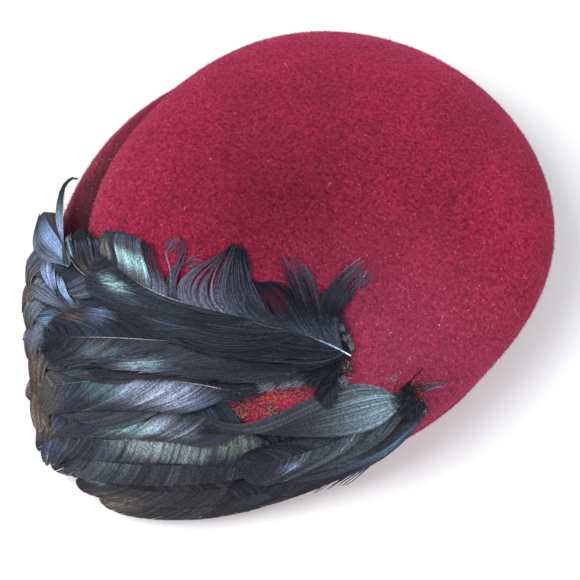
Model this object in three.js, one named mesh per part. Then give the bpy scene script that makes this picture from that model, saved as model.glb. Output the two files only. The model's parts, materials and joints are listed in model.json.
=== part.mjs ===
// A velour felt hat: a shallow, nearly round crown, a groove at its foot, and a rolled brim
// that is wide in front and vanishes at the back. Cock feathers are laid over the front.
// Millimetres, +Z up. The front of the hat faces -Y and the hem rests on Z = 0.
//
// Places on the hat are given as a direction and a run. The direction is in degrees round the
// crown: 0 is the front, 90 is +X, -90 is -X. The run is the distance over the hat's outside
// from the middle of the crown, measured on a taut cover that bridges the groove.
import * as THREE from 'three';

// ---------------------------------------------------------------- driving dimensions, felt
const CROWN_TOP = 62; // height of the crown's middle above the hem
const CROWN_EDGE = 25; // height of the crown's edge, its widest line
const DOME_POWER = 2.3; // 2 is an ellipse, more is squarer
const FELT_WALL = 2.2;
const HEM_TURN = 3; // how far the brim turns in between its widest line and the hem
const UNDERCUT = 6; // drop from the crown's edge to the upper side of the groove
const COLUMNS = 60; // round the hat
const DOME_ROWS = 8;
const LOWER_STEPS = [1, 1, 2, 2, 2, 2]; // rows in each span from the crown's edge to the hem

// Sections of the felt at equal turns round the hat. edge is the radius of the crown's edge,
// groove its depth behind that edge, brim the brim's reach past it. The rest are heights.
const SECTIONS = [
  { at: -180, edge: 109, groove: 2.5, brim: -6, grooveZ: 15, rollZ: 10, wideZ: 5 },
  { at: -135, edge: 107, groove: 3, brim: 0, grooveZ: 15, rollZ: 13, wideZ: 6 },
  { at: -90, edge: 100, groove: 6, brim: 15, grooveZ: 14, rollZ: 17, wideZ: 8 },
  { at: -45, edge: 103, groove: 8, brim: 21, grooveZ: 14, rollZ: 18, wideZ: 8 },
  { at: 0, edge: 102, groove: 9, brim: 43, grooveZ: 14, rollZ: 18, wideZ: 8 },
  { at: 45, edge: 103, groove: 6, brim: 2, grooveZ: 14, rollZ: 16, wideZ: 8 },
  { at: 90, edge: 97.5, groove: 4, brim: -2, grooveZ: 15, rollZ: 12, wideZ: 7 },
  { at: 135, edge: 107.5, groove: 3, brim: -7, grooveZ: 15, rollZ: 10, wideZ: 5 },
];

// ------------------------------------------------------------ driving dimensions, feathers
const VANE = 0.6; // thickness of a feather's vane
const QUILL = 0.2; // height of the quill above the vane
const QUILL_HALF = 0.8; // half the width of a bare quill
const BARE = 0.04; // share of a feather's length that is bare quill
const FILLED = 0.2; // share over which the vane then grows to its full width
const FIRST_GAP = 0.4; // between the felt and the first feather
const GAP = 0.15; // between one feather and the next
const MOST_TILT = 0.6; // steepest rise across a vane
const SMOOTHING = 5; // rounds in which the heights along a shaft are evened
const LENGTH_STEPS = 13; // along a feather
const OVERHANG = 10; // how far past the brim's widest line the longest feathers reach
const OVERHANG_Z = 6; // how high above the hem they end

// Feathers in the order in which they are laid. root, first, second and tip are places on the
// shaft, as direction and run. inner and outer are the widths of the vane on the crown's side
// and on the brim's side, notch how deep its edge is split, curl how far its tip lifts.
const FEATHERS = [
  { name: 'rim_feather_1', root: [57, 110], first: [42, 123], second: [23, 140], tip: [0, 164],
    inner: 9, outer: 8, notch: 0.1, curl: 0, tone: 'smoke' },
  { name: 'rim_feather_2', root: [50, 106], first: [33, 122], second: [15, 141], tip: [-5, 165],
    inner: 10, outer: 9, notch: 0.1, curl: 0, tone: 'smoke' },
  { name: 'front_feather_1', root: [42, 104], first: [24, 118], second: [8, 136], tip: [-9, 165],
    inner: 9, outer: 9, notch: 0.15, curl: 0, tone: 'slate' },
  { name: 'front_feather_2', root: [34, 112], first: [20, 114], second: [6, 127], tip: [-12, 161],
    inner: 8, outer: 11, notch: 0.15, curl: 0, tone: 'teal' },
  { name: 'front_feather_3', root: [26, 104], first: [11, 107], second: [-3, 124], tip: [-17, 156],
    inner: 8, outer: 10, notch: 0.15, curl: 1, tone: 'teal' },
  { name: 'front_feather_4', root: [6, 112], first: [-6, 124], second: [-14, 136], tip: [-23, 150],
    inner: 10, outer: 9, notch: 0.2, curl: 1, tone: 'brown' },
  { name: 'front_feather_5', root: [21, 90], first: [6, 97], second: [-8, 117], tip: [-18, 148],
    inner: 7, outer: 12, notch: 0, curl: 0, tone: 'violet' },
  { name: 'left_feather_1', root: [-2, 104], first: [-13, 119], second: [-21, 132], tip: [-28, 148],
    inner: 9, outer: 8, notch: 0.2, curl: 1, tone: 'brown' },
  { name: 'left_feather_2', root: [-6, 94], first: [-16, 108], second: [-25, 127], tip: [-33, 148],
    inner: 9, outer: 7, notch: 0.2, curl: 1, tone: 'slate' },
  { name: 'fan_feather_1', root: [-14, 100], first: [-21, 108], second: [-30, 125], tip: [-38, 146],
    inner: 7, outer: 6, notch: 0.3, curl: 1, tone: 'blue' },
  { name: 'fan_feather_2', root: [-20, 98], first: [-26, 105], second: [-34, 121], tip: [-43, 143],
    inner: 7, outer: 5, notch: 0.3, curl: 1, tone: 'blue' },
  { name: 'fan_feather_3', root: [-25, 97], first: [-31, 104], second: [-39, 120], tip: [-48, 141],
    inner: 6, outer: 6, notch: 0.3, curl: 2, tone: 'violet' },
  { name: 'fan_feather_4', root: [-29, 96], first: [-36, 104], second: [-44, 117], tip: [-54, 137],
    inner: 6, outer: 6, notch: 0, curl: 5, tone: 'blue' },
  { name: 'fan_feather_5', root: [-32, 96], first: [-39, 105], second: [-49, 118], tip: [-62, 127],
    inner: 3, outer: 3, notch: 0, curl: 6, tone: 'blue' },
  { name: 'fan_feather_6', root: [-30, 89], first: [-34, 95], second: [-39, 103], tip: [-45, 113],
    inner: 6, outer: 6, notch: 0.2, curl: 0, tone: 'smoke' },
  { name: 'side_feather_1', root: [63, 106], first: [53, 116], second: [40, 125], tip: [24, 136],
    inner: 6, outer: 7, notch: 0.1, curl: 0, tone: 'smoke' },
  { name: 'side_feather_2', root: [67, 100], first: [58, 110], second: [46, 118], tip: [30, 127],
    inner: 5, outer: 6, notch: 0.1, curl: 0, tone: 'blue' },
  { name: 'side_feather_3', root: [66, 96], first: [53, 99], second: [40, 107], tip: [25, 120],
    inner: 4, outer: 10, notch: 0.1, curl: 0, tone: 'slate' },
  { name: 'side_feather_4', root: [64, 92], first: [52, 91], second: [37, 96], tip: [15, 107],
    inner: 6, outer: 7, notch: 0, curl: 0, tone: 'teal' },
  { name: 'down_feather_1', root: [49, 77], first: [46, 82], second: [43, 88], tip: [40, 94],
    inner: 4, outer: 5, notch: 0.3, curl: 0, tone: 'slate' },
  { name: 'top_feather_1', root: [44, 79], first: [24, 79], second: [4, 92], tip: [-14, 122],
    inner: 9, outer: 6, notch: 0.15, curl: 0, tone: 'slate' },
  { name: 'top_feather_2', root: [50, 76], first: [22, 72], second: [-4, 88], tip: [-26, 139],
    inner: 9, outer: 10, notch: 0.1, curl: 0, tone: 'navy' },
  { name: 'down_feather_2', root: [52, 73], first: [51, 67], second: [49, 60], tip: [45, 53],
    inner: 4, outer: 4, notch: 0.3, curl: 0, tone: 'smoke' },
  { name: 'top_feather_3', root: [52, 71], first: [28, 61], second: [-4, 70], tip: [-36, 94],
    inner: 9, outer: 13, notch: 0, curl: 0, tone: 'navy' },
];

// The uppermost feather's barbs on the crown's side part into locks. Each row is a lock's tip,
// as direction and run, and the width of the vane at the cleft that follows it.
const LOCKS = [
  { tip: [66, 39], cleft: 6 },
  { tip: [25, 33], cleft: 7 },
  { tip: [18, 44], cleft: 11 },
  { tip: [8, 47], cleft: 13 },
  { tip: [3, 48], cleft: 11 },
  { tip: [-20, 40], cleft: 14 },
  { tip: [-17, 50], cleft: 6 },
  { tip: [-15, 58], cleft: 5 },
  { tip: [-20, 61], cleft: 5 },
  { tip: [-32, 61], cleft: 9 },
  { tip: [-33, 69], cleft: 12 },
  { tip: [-36, 74], cleft: 14 },
  { tip: [-38, 83], cleft: 8 },
];

const FELT_LOOK = { color: 0x8a1a38, roughness: 0.95, metalness: 0 };
const FEATHER_LOOKS = {
  navy: { color: 0x22242d, roughness: 0.5, metalness: 0.1 },
  slate: { color: 0x34373f, roughness: 0.5, metalness: 0.1 },
  smoke: { color: 0x3d3c3b, roughness: 0.6, metalness: 0 },
  brown: { color: 0x5b534c, roughness: 0.6, metalness: 0 },
  blue: { color: 0x6d83a3, roughness: 0.35, metalness: 0.3 },
  violet: { color: 0x77718f, roughness: 0.35, metalness: 0.3 },
  teal: { color: 0x6f8f92, roughness: 0.35, metalness: 0.3 },
};

// ------------------------------------------------------------------------------- the felt

/** A cubic from b to c, steered by their neighbours a and d. */
function cubic(a, b, c, d, t) {
  const bend = 2 * a - 5 * b + 4 * c - d;
  const twist = 3 * b - a - 3 * c + d;
  return 0.5 * (2 * b + (c - a) * t + bend * t * t + twist * t * t * t);
}

/** The felt's section in any direction, blended round the hat from SECTIONS. */
function sectionAt(direction) {
  const count = SECTIONS.length;
  const place = ((direction - SECTIONS[0].at) * count) / 360 + count;
  const index = Math.floor(place);
  const row = (offset) => SECTIONS[(index + offset + count) % count];
  const section = {};
  for (const column of ['edge', 'groove', 'brim', 'grooveZ', 'rollZ', 'wideZ']) {
    const [a, b, c, d] = [row(-1), row(0), row(1), row(2)].map((each) => each[column]);
    section[column] = cubic(a, b, c, d, place - index);
  }
  return section;
}

/** A point on the domed crown. share is 0 at its middle and 1 at its edge. */
function domePoint(edge, share) {
  const angle = (share * Math.PI) / 2;
  const radius = edge * Math.sin(angle) ** (2 / DOME_POWER);
  const rise = Math.max(Math.cos(angle), 0) ** (2 / DOME_POWER);
  return new THREE.Vector2(radius, CROWN_EDGE + (CROWN_TOP - CROWN_EDGE) * rise);
}

/** The outer profile in one direction, as radius and height, from the middle to the hem. */
function profileAt(direction) {
  const { edge, groove, brim, grooveZ, rollZ, wideZ } = sectionAt(direction);
  const foot = edge - groove;
  const reach = groove + brim;
  const knots = [
    domePoint(edge, 1 - 1 / DOME_ROWS),
    new THREE.Vector2(edge, CROWN_EDGE),
    new THREE.Vector2(edge - 0.45 * groove, CROWN_EDGE - UNDERCUT),
    new THREE.Vector2(foot, grooveZ),
    new THREE.Vector2(foot + 0.3 * reach, grooveZ + 0.6 * (rollZ - grooveZ)),
    new THREE.Vector2(foot + 0.75 * reach, rollZ),
    new THREE.Vector2(edge + brim, wideZ),
    new THREE.Vector2(edge + brim - HEM_TURN, 0),
  ];
  knots.push(knots[7].clone().multiplyScalar(2).sub(knots[6]));
  const points = [];
  for (let k = 0; k <= DOME_ROWS; k += 1) points.push(domePoint(edge, k / DOME_ROWS));
  LOWER_STEPS.forEach((steps, span) => {
    const [a, b, c, d] = knots.slice(span, span + 4);
    for (let k = 1; k <= steps; k += 1) {
      const t = k / steps;
      points.push(new THREE.Vector2(cubic(a.x, b.x, c.x, d.x, t), cubic(a.y, b.y, c.y, d.y, t)));
    }
  });
  return points;
}

/** The same profile, moved in by the felt's thickness and cut level at the hem. */
function innerProfile(points) {
  const last = points.length - 1;
  return points.map((point, k) => {
    if (k === 0) return new THREE.Vector2(0, point.y - FELT_WALL);
    if (k === last) return new THREE.Vector2(point.x - FELT_WALL, 0);
    const along = points[k + 1].clone().sub(points[k - 1]).normalize();
    return new THREE.Vector2(point.x + along.y * FELT_WALL, point.y - along.x * FELT_WALL);
  });
}

/** A closed mesh from points and triangles. */
function meshGeometry(points, triangles) {
  const geometry = new THREE.BufferGeometry();
  geometry.setAttribute('position', new THREE.Float32BufferAttribute(points.flat(), 3));
  geometry.setIndex(triangles.flat());
  return geometry;
}

/** The hat's body: crown, groove and brim, blocked from one piece of felt. */
function feltBody() {
  const points = [];
  const triangles = [];
  const outer = [];
  const inner = [];
  for (let column = 0; column < COLUMNS; column += 1) {
    const turn = (column * 2 * Math.PI) / COLUMNS;
    const profile = profileAt(THREE.MathUtils.radToDeg(turn) - 180);
    for (const [rings, side] of [[outer, profile], [inner, innerProfile(profile)]]) {
      rings.push(side.map(({ x, y }, k) => {
        if (k === 0 && column > 0) return rings[0][0];
        points.push([-x * Math.sin(turn), x * Math.cos(turn), y]);
        return points.length - 1;
      }));
    }
  }
  const rows = outer[0].length;
  for (let column = 0; column < COLUMNS; column += 1) {
    const next = (column + 1) % COLUMNS;
    const sides = [[outer[column], outer[next]], [inner[next], inner[column]]];
    for (const [left, right] of sides) {
      triangles.push([left[0], left[1], right[1]]);
      for (let k = 1; k < rows - 1; k += 1) {
        triangles.push([left[k], left[k + 1], right[k + 1]], [left[k], right[k + 1], right[k]]);
      }
    }
    const hem = [outer[column], outer[next], inner[next], inner[column]].map((side) => side[rows - 1]);
    triangles.push([hem[0], hem[2], hem[1]], [hem[0], hem[3], hem[2]]);
  }
  return meshGeometry(points, triangles);
}

// --------------------------------------------------------------- the cover over the felt

/** A taut cover over a profile: it bridges the groove and runs on past the brim's edge. */
function tautOver(points) {
  const widest = points.length - 1 - LOWER_STEPS[LOWER_STEPS.length - 1];
  const end = new THREE.Vector2(points[widest].x + OVERHANG, OVERHANG_Z);
  const taut = [];
  for (const point of [...points.slice(0, widest + 1), end]) {
    while (taut.length > 1) {
      const [before, last] = taut.slice(-2);
      const turn = last.clone().sub(before).cross(point.clone().sub(before));
      if (turn < 0) break;
      taut.pop();
    }
    taut.push(point);
  }
  return taut;
}

/** The place a run along the taut cover reaches, as radius and height. */
function alongCover(taut, run) {
  let left = run;
  for (let k = 1; k < taut.length; k += 1) {
    const span = taut[k].distanceTo(taut[k - 1]);
    if (left <= span || k === taut.length - 1) {
      return taut[k - 1].clone().lerp(taut[k], Math.min(left / span, 1));
    }
    left -= span;
  }
  return taut[0].clone();
}

const NORMAL_REACH = 3; // the run either side over which the cover's slope is taken

/** A point over the hat: plan is a run and its direction as x and y, lift is off the cover. */
function overHat(plan, lift) {
  const direction = THREE.MathUtils.radToDeg(Math.atan2(plan.x, -plan.y));
  const taut = tautOver(profileAt(direction));
  const run = plan.length();
  const spot = alongCover(taut, run);
  const slope = alongCover(taut, run + NORMAL_REACH).sub(alongCover(taut, run - NORMAL_REACH)).normalize();
  const radius = spot.x - slope.y * lift;
  const turn = THREE.MathUtils.degToRad(direction);
  return [radius * Math.sin(turn), -radius * Math.cos(turn), spot.y + slope.x * lift];
}

const planOf = ([direction, run]) => {
  const turn = THREE.MathUtils.degToRad(direction);
  return new THREE.Vector2(run * Math.sin(turn), -run * Math.cos(turn));
};

// ------------------------------------------------------------------ the pile of feathers

// How high the feathers laid so far reach above the cover, on a square plan of small cells.
const CELL = 1;
const CELLS = 360;
const tops = new Float32Array(CELLS * CELLS).fill(FIRST_GAP - GAP);

const cellAt = ({ x, y }) => Math.round(y / CELL + CELLS / 2) * CELLS + Math.round(x / CELL + CELLS / 2);

/** The pile's height near a place: the highest of its cell and the cells round it. */
function pileTop(place) {
  const middle = cellAt(place);
  let highest = 0;
  for (const row of [-CELLS, 0, CELLS]) {
    for (const column of [-1, 0, 1]) highest = Math.max(highest, tops[middle + row + column]);
  }
  return highest;
}

// ---------------------------------------------------------------------------- the blades

/** A closed solid between two grids of points that share their border's shape. */
function slab(upper, lower) {
  const rows = upper.length;
  const columns = upper[0].length;
  const points = [...upper.flat(), ...lower.flat()];
  const top = (i, j) => i * columns + j;
  const base = (i, j) => rows * columns + i * columns + j;
  const triangles = [];
  const quad = (a, b, c, d) => triangles.push([a, c, b], [a, d, c]);
  for (let i = 0; i < rows - 1; i += 1) {
    for (let j = 0; j < columns - 1; j += 1) {
      quad(top(i, j), top(i, j + 1), top(i + 1, j + 1), top(i + 1, j));
      quad(base(i, j), base(i + 1, j), base(i + 1, j + 1), base(i, j + 1));
    }
    quad(top(i, 0), top(i + 1, 0), base(i + 1, 0), base(i, 0));
    const edge = columns - 1;
    quad(top(i, edge), base(i, edge), base(i + 1, edge), top(i + 1, edge));
  }
  for (let j = 0; j < columns - 1; j += 1) {
    quad(top(0, j), base(0, j), base(0, j + 1), top(0, j + 1));
    const end = rows - 1;
    quad(top(end, j), top(end, j + 1), base(end, j + 1), base(end, j));
  }
  return meshGeometry(points, triangles);
}

/** Places along a shaft, with the way the shaft runs and the way to the crown. */
function stationsOn(places, steps) {
  const knots = places.map(planOf).map(({ x, y }) => new THREE.Vector3(x, y, 0));
  const shaft = new THREE.CatmullRomCurve3(knots);
  return Array.from({ length: steps + 1 }, (_, i) => {
    const even = i / steps;
    const share = even - 0.06 * Math.sin(2 * Math.PI * even);
    const { x, y } = shaft.getPointAt(share);
    const along = shaft.getTangentAt(share);
    return { share, spot: new THREE.Vector2(x, y), inward: new THREE.Vector2(along.y, -along.x) };
  });
}

/** The share of its full width that a feather's vane has at a share of its length. */
function vaneWidth(share) {
  const grown = Math.min(Math.max(share - BARE, 0) / FILLED, 1);
  const spent = Math.max(share - 0.55, 0) / 0.45;
  return Math.sqrt(1 - (1 - grown) ** 2) * Math.sqrt(Math.max(1 - spent ** 2.4, 0));
}

const COLUMNS_ACROSS = [-1, 0, 1]; // from the crown's side to the brim's side

/** The plan of a feather: rows of places across its vane, from its root to its tip. */
function featherPlan({ root, first, second, tip, inner, outer, notch }) {
  return stationsOn([root, first, second, tip], LENGTH_STEPS).map(({ share, spot, inward }, i) => {
    const kept = vaneWidth(share) * (i % 2 ? 1 - notch : 1);
    return COLUMNS_ACROSS.map((column) => {
      const width = Math.max((column < 0 ? inner : outer) * kept, QUILL_HALF);
      return spot.clone().addScaledVector(inward, -column * width);
    });
  });
}

/** The plan of a feather whose barbs part into locks on the crown's side. */
function partedPlan(feather, locks) {
  const { root, first, second, tip, outer } = feather;
  const stations = stationsOn([root, first, second, tip], 2 * locks.length + 4);
  const barbs = stations.map(({ spot, inward }, i) => {
    const lock = i % 2 === 0 && locks[i / 2 - 1];
    return lock ? planOf(lock.tip).sub(spot) : inward.clone().multiplyScalar(feather.inner);
  });
  return stations.map(({ share, spot, inward }, i) => {
    const kept = vaneWidth(share);
    const cleft = i % 2 ? locks[(i - 3) / 2]?.cleft : undefined;
    if (cleft) barbs[i].copy(barbs[i - 1]).normalize().add(barbs[i + 1].clone().normalize()).setLength(cleft);
    const isBare = i < 2 || i > stations.length - 4;
    const inner = isBare ? inward.clone().multiplyScalar(QUILL_HALF) : barbs[i];
    const outerWidth = Math.max(outer * kept, QUILL_HALF);
    return COLUMNS_ACROSS.map((column) => (column < 0
      ? spot.clone().addScaledVector(inner, -column)
      : spot.clone().addScaledVector(inward, -column * outerWidth)));
  });
}

const FINE = 5; // places taken between two rows, and between the shaft and either edge

/** A place on a blade's plan. along counts rows, across is -1 to 1 over the vane. */
function placeOn(plan, along, across) {
  const i = Math.min(Math.floor(along), plan.length - 2);
  const side = across < 0 ? 0 : 2;
  const [near, far] = [plan[i], plan[i + 1]].map((row) => row[1].clone().lerp(row[side], Math.abs(across)));
  return near.lerp(far, along - i);
}

/** Heights of the pile across a row and on to the rows next to it. */
function underRow(plan, i) {
  const found = [];
  for (let k = -FINE; k <= FINE; k += 1) {
    const across = k / FINE;
    const width = plan[i][1].distanceTo(plan[i][across < 0 ? 0 : 2]);
    let top = 0;
    for (let n = -FINE; n <= FINE; n += 1) {
      const along = Math.min(Math.max(i + n / FINE, 0), plan.length - 1);
      top = Math.max(top, pileTop(placeOn(plan, along, across)));
    }
    found.push({ out: across * width, top });
  }
  return found;
}

/** The height at the shaft at which a row of a given tilt clears everything under it. */
const clearHeight = (under, tilt) => Math.max(...under.map(({ out, top }) => top - tilt * out));

/** The tilt at which a row lies lowest. */
function restingTilt(under) {
  let best = 0;
  for (let tilt = -MOST_TILT; tilt <= MOST_TILT; tilt += 0.02) {
    if (clearHeight(under, tilt) < clearHeight(under, best)) best = tilt;
  }
  return best;
}

/** Each value with the mean of itself and its neighbours. */
const evened = (values) => values.map((value, i) => (
  (value + (values[i - 1] ?? value) + (values[i + 1] ?? value)) / 3
));

/** Lays a blade on the pile: rows of places with the heights of its two sides there. */
function layBlade(plan, curl) {
  const under = plan.map((_, i) => underRow(plan, i));
  const tilts = evened(evened(under.map(restingTilt)));
  let heights = under.map((row, i) => clearHeight(row, tilts[i]));
  for (let pass = 0; pass < SMOOTHING; pass += 1) {
    heights = evened(heights).map((mean, i) => Math.max(mean, heights[i]));
  }
  return plan.map((row, i) => row.map((place, j) => {
    const out = Math.sign(COLUMNS_ACROSS[j]) * place.distanceTo(row[1]);
    const rise = GAP + curl * (i / (plan.length - 1)) ** 4;
    const low = heights[i] + tilts[i] * out + rise;
    return { place, low, high: low + VANE + (out ? 0 : QUILL) };
  }));
}

/** Raises the pile under everything that a blade covers. */
function addToPile(plan, laid) {
  for (let i = 0; i < plan.length - 1; i += 1) {
    for (let n = 0; n <= FINE; n += 1) {
      for (let k = -FINE; k <= FINE; k += 1) {
        const across = k / FINE;
        const side = across < 0 ? 0 : 2;
        const [near, far] = [laid[i], laid[i + 1]].map((row) => (
          row[1].high + (row[side].high - row[1].high) * Math.abs(across)
        ));
        const cell = cellAt(placeOn(plan, i + n / FINE, across));
        tops[cell] = Math.max(tops[cell], near + ((far - near) * n) / FINE);
      }
    }
  }
}

// ------------------------------------------------------------------------------ assembly

function addPiece(group, name, geometry, look) {
  const mesh = new THREE.Mesh(geometry, new THREE.MeshStandardMaterial(look));
  mesh.name = name;
  group.add(mesh);
}

const pieces = new THREE.Group();
addPiece(pieces, 'felt_body', feltBody(), FELT_LOOK);

FEATHERS.forEach((feather, index) => {
  const isUppermost = index === FEATHERS.length - 1;
  const plan = isUppermost ? partedPlan(feather, LOCKS) : featherPlan(feather);
  const laid = layBlade(plan, feather.curl);
  const side = (level) => laid.map((row) => row.map((spot) => overHat(spot.place, spot[level])));
  addPiece(pieces, feather.name, slab(side('high'), side('low')), FEATHER_LOOKS[feather.tone]);
  addToPile(plan, laid);
});

// The origin is the middle of the hat's box, on the surface it rests on.
const middle = new THREE.Box3().setFromObject(pieces).getCenter(new THREE.Vector3());
pieces.position.set(-middle.x, -middle.y, 0);

const hat = new THREE.Group();
hat.add(pieces);
export default hat;
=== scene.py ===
"""A velour felt hat with a pad of cock feathers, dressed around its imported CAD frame.

Places on the hat are given as a direction and a run. The direction is in degrees round the
crown: 0 is the front, 90 is +X, -90 is -X. The run is the distance in millimetres over the
outside from the middle of the crown, on a taut cover that bridges the groove. A place's plan
is its run as an arrow in its direction, and a lift is a height off the cover.
"""
import json
import math

import bmesh
import bpy
import numpy as np
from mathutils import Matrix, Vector
from mathutils.bvhtree import BVHTree


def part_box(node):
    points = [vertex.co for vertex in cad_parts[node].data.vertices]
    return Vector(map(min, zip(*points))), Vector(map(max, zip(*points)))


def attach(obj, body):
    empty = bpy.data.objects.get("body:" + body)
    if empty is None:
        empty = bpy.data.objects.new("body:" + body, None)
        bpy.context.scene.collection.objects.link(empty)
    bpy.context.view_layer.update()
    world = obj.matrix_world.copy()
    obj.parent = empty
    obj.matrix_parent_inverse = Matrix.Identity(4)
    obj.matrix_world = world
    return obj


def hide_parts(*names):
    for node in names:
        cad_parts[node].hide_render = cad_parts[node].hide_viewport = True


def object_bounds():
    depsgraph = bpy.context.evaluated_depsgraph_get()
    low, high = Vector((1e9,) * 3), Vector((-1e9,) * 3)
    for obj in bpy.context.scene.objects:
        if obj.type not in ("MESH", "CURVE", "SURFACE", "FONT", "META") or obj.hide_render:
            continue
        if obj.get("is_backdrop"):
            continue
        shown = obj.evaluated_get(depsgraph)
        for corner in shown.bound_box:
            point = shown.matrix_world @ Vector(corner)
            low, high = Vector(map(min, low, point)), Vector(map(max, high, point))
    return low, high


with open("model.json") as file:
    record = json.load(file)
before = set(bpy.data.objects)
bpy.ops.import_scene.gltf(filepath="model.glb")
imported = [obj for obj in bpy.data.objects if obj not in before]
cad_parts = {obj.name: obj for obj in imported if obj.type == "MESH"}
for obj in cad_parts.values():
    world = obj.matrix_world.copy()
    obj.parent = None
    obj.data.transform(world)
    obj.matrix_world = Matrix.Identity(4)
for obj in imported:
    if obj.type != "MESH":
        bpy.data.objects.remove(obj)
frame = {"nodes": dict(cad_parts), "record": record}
CAD_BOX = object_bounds()
MM = 0.001

# --- dimensions of the felt and its cover, in millimetres

CROWN_TOP = 62.0  # height of the crown's middle above the hem
CROWN_EDGE = 25.0  # height of the crown's edge, its widest line
DOME_POWER = 2.3  # 2 is an ellipse, more is squarer
DOME_BEND = 8  # the dome's rows that steer the felt's curve at its edge
FELT_WALL = 2.2
HEM_TURN = 3.0  # how far the brim turns in between its widest line and the hem
UNDERCUT = 6.0  # drop from the crown's edge to the upper side of the groove
UNDERCUT_IN = 0.45  # share of the groove's depth that the felt has gone in by there
SLOPE_OUT, SLOPE_UP = 0.3, 0.6  # shares of its reach and rise at a point on the brim's slope
ROLL_OUT = 0.75  # share of the brim's reach at which it rolls over
OVERHANG = 10.0  # how far past the brim's widest line the longest feathers reach
OVERHANG_Z = 6.0  # how high above the hem they end

# The felt's sections at equal turns round the hat, from direction -180. The columns are the
# radius of the crown's edge, the groove's depth, the brim's reach past the crown's edge, and
# the heights of the groove, the brim's roll and its widest line.
SECTIONS = np.array([
    (109.0, 2.5, -6.0, 15.0, 10.0, 5.0),
    (107.0, 3.0, 0.0, 15.0, 13.0, 6.0),
    (100.0, 6.0, 15.0, 14.0, 17.0, 8.0),
    (103.0, 8.0, 21.0, 14.0, 18.0, 8.0),
    (102.0, 9.0, 43.0, 14.0, 18.0, 8.0),
    (103.0, 6.0, 2.0, 14.0, 16.0, 8.0),
    (97.5, 4.0, -2.0, 15.0, 12.0, 7.0),
    (107.5, 3.0, -7.0, 15.0, 10.0, 5.0),
])

# --- colours of the feathers

INK = (0.010, 0.012, 0.020)
NAVY = (0.017, 0.021, 0.036)
DUSK = (0.014, 0.017, 0.029)
SLATE = (0.024, 0.028, 0.039)
SMOKE = (0.032, 0.031, 0.034)
SOOT = (0.018, 0.018, 0.022)
BROWN = (0.100, 0.078, 0.062)
PALE_BROWN = (0.230, 0.180, 0.150)
TEAL = (0.100, 0.210, 0.230)
DULL_TEAL = (0.075, 0.105, 0.130)
SLATE_TEAL = (0.150, 0.215, 0.260)
PALE_TEAL = (0.210, 0.350, 0.370)
BLUE = (0.090, 0.150, 0.270)
PALE_BLUE = (0.230, 0.350, 0.560)
TAUPE = (0.085, 0.077, 0.072)
LILAC = (0.240, 0.280, 0.380)
PERIWINKLE = (0.180, 0.240, 0.420)
SKY = (0.170, 0.270, 0.420)
FOG = (0.095, 0.118, 0.160)
GREEN_GREY = (0.110, 0.150, 0.130)
HORN = (0.340, 0.310, 0.300)
PALE_GREY = (0.220, 0.280, 0.280)
STEEL = (0.044, 0.054, 0.084)
MAUVE = (0.100, 0.108, 0.160)
SHINE_BLUE = (0.160, 0.210, 0.290)
QUILL_BLUE = (0.600, 0.700, 1.000)
FROST = (0.320, 0.340, 0.420)
RUST = [(0.36, 0.01, 0.03), (0.30, 0.01, 0.03), (0.42, 0.05, 0.06), (0.42, 0.17, 0.11),
        (0.16, 0.01, 0.03)]
ASH = [(0.26, 0.22, 0.18), (0.15, 0.12, 0.10), SMOKE, INK]
HAZE = [(0.15, 0.05, 0.09), (0.11, 0.07, 0.12)]
DOWN = [INK, DUSK, INK]
PALE_DOWN = [FROST, SMOKE]

# --- the feathers: places, sheens, strands and loose hairs

BARE = 0.03  # share of a feather's length that is bare quill
PITCH = 0.28  # from one barb to the next along the shaft
DARK_QUILL = (0.25, [SMOKE, INK, INK])  # a shaft's radius at its root, and its colours


def feather(name, shaft, inner, outer, lean=38, bow=0.3, fray=0.06, split=0.12, filled=0.2,
            wave=0.1, blunt=10, look=SLATE, edge=SMOKE, sides=(-1, 1), quill=DARK_QUILL):
    """A feather's row: its shaft's four places, and the widths of its vane on the crown's and
    the brim's side. lean is the angle between barbs and shaft, bow how far the barbs leave the
    shaft at a right angle before they follow it, fray how unequal they are, split the mean
    width of the gaps at the vane's edge, filled the share of the length over which the vane
    grows to its full width, wave how far the barbs sway, blunt how square its tip is, look
    and edge its colours within and at its edge, sides those that have a vane: -1 is the
    crown's and 1 the brim's."""
    return dict(locals())


def side_feather(name, shaft, inner, outer, filled=0.04, **looks):
    """A feather beside the opening in the pad: its barbs lie almost along its shaft."""
    return feather(name, shaft, inner, outer, lean=18, bow=0.8, fray=0.14, filled=filled,
                   blunt=4, **looks)


def top_feather(name, shaft, inner, outer, **looks):
    """A soft, unkempt feather on top of the pad."""
    return feather(name, shaft, inner, outer, lean=20, bow=0.6, fray=0.3, split=0.5,
                   filled=0.05, wave=0.5, blunt=4, **looks)


def down_feather(name, shaft, inner, outer, look):
    """A short feather of loose down."""
    return feather(name, shaft, inner, outer, fray=0.6, split=0.6, wave=0.8, blunt=4, look=look)


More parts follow.
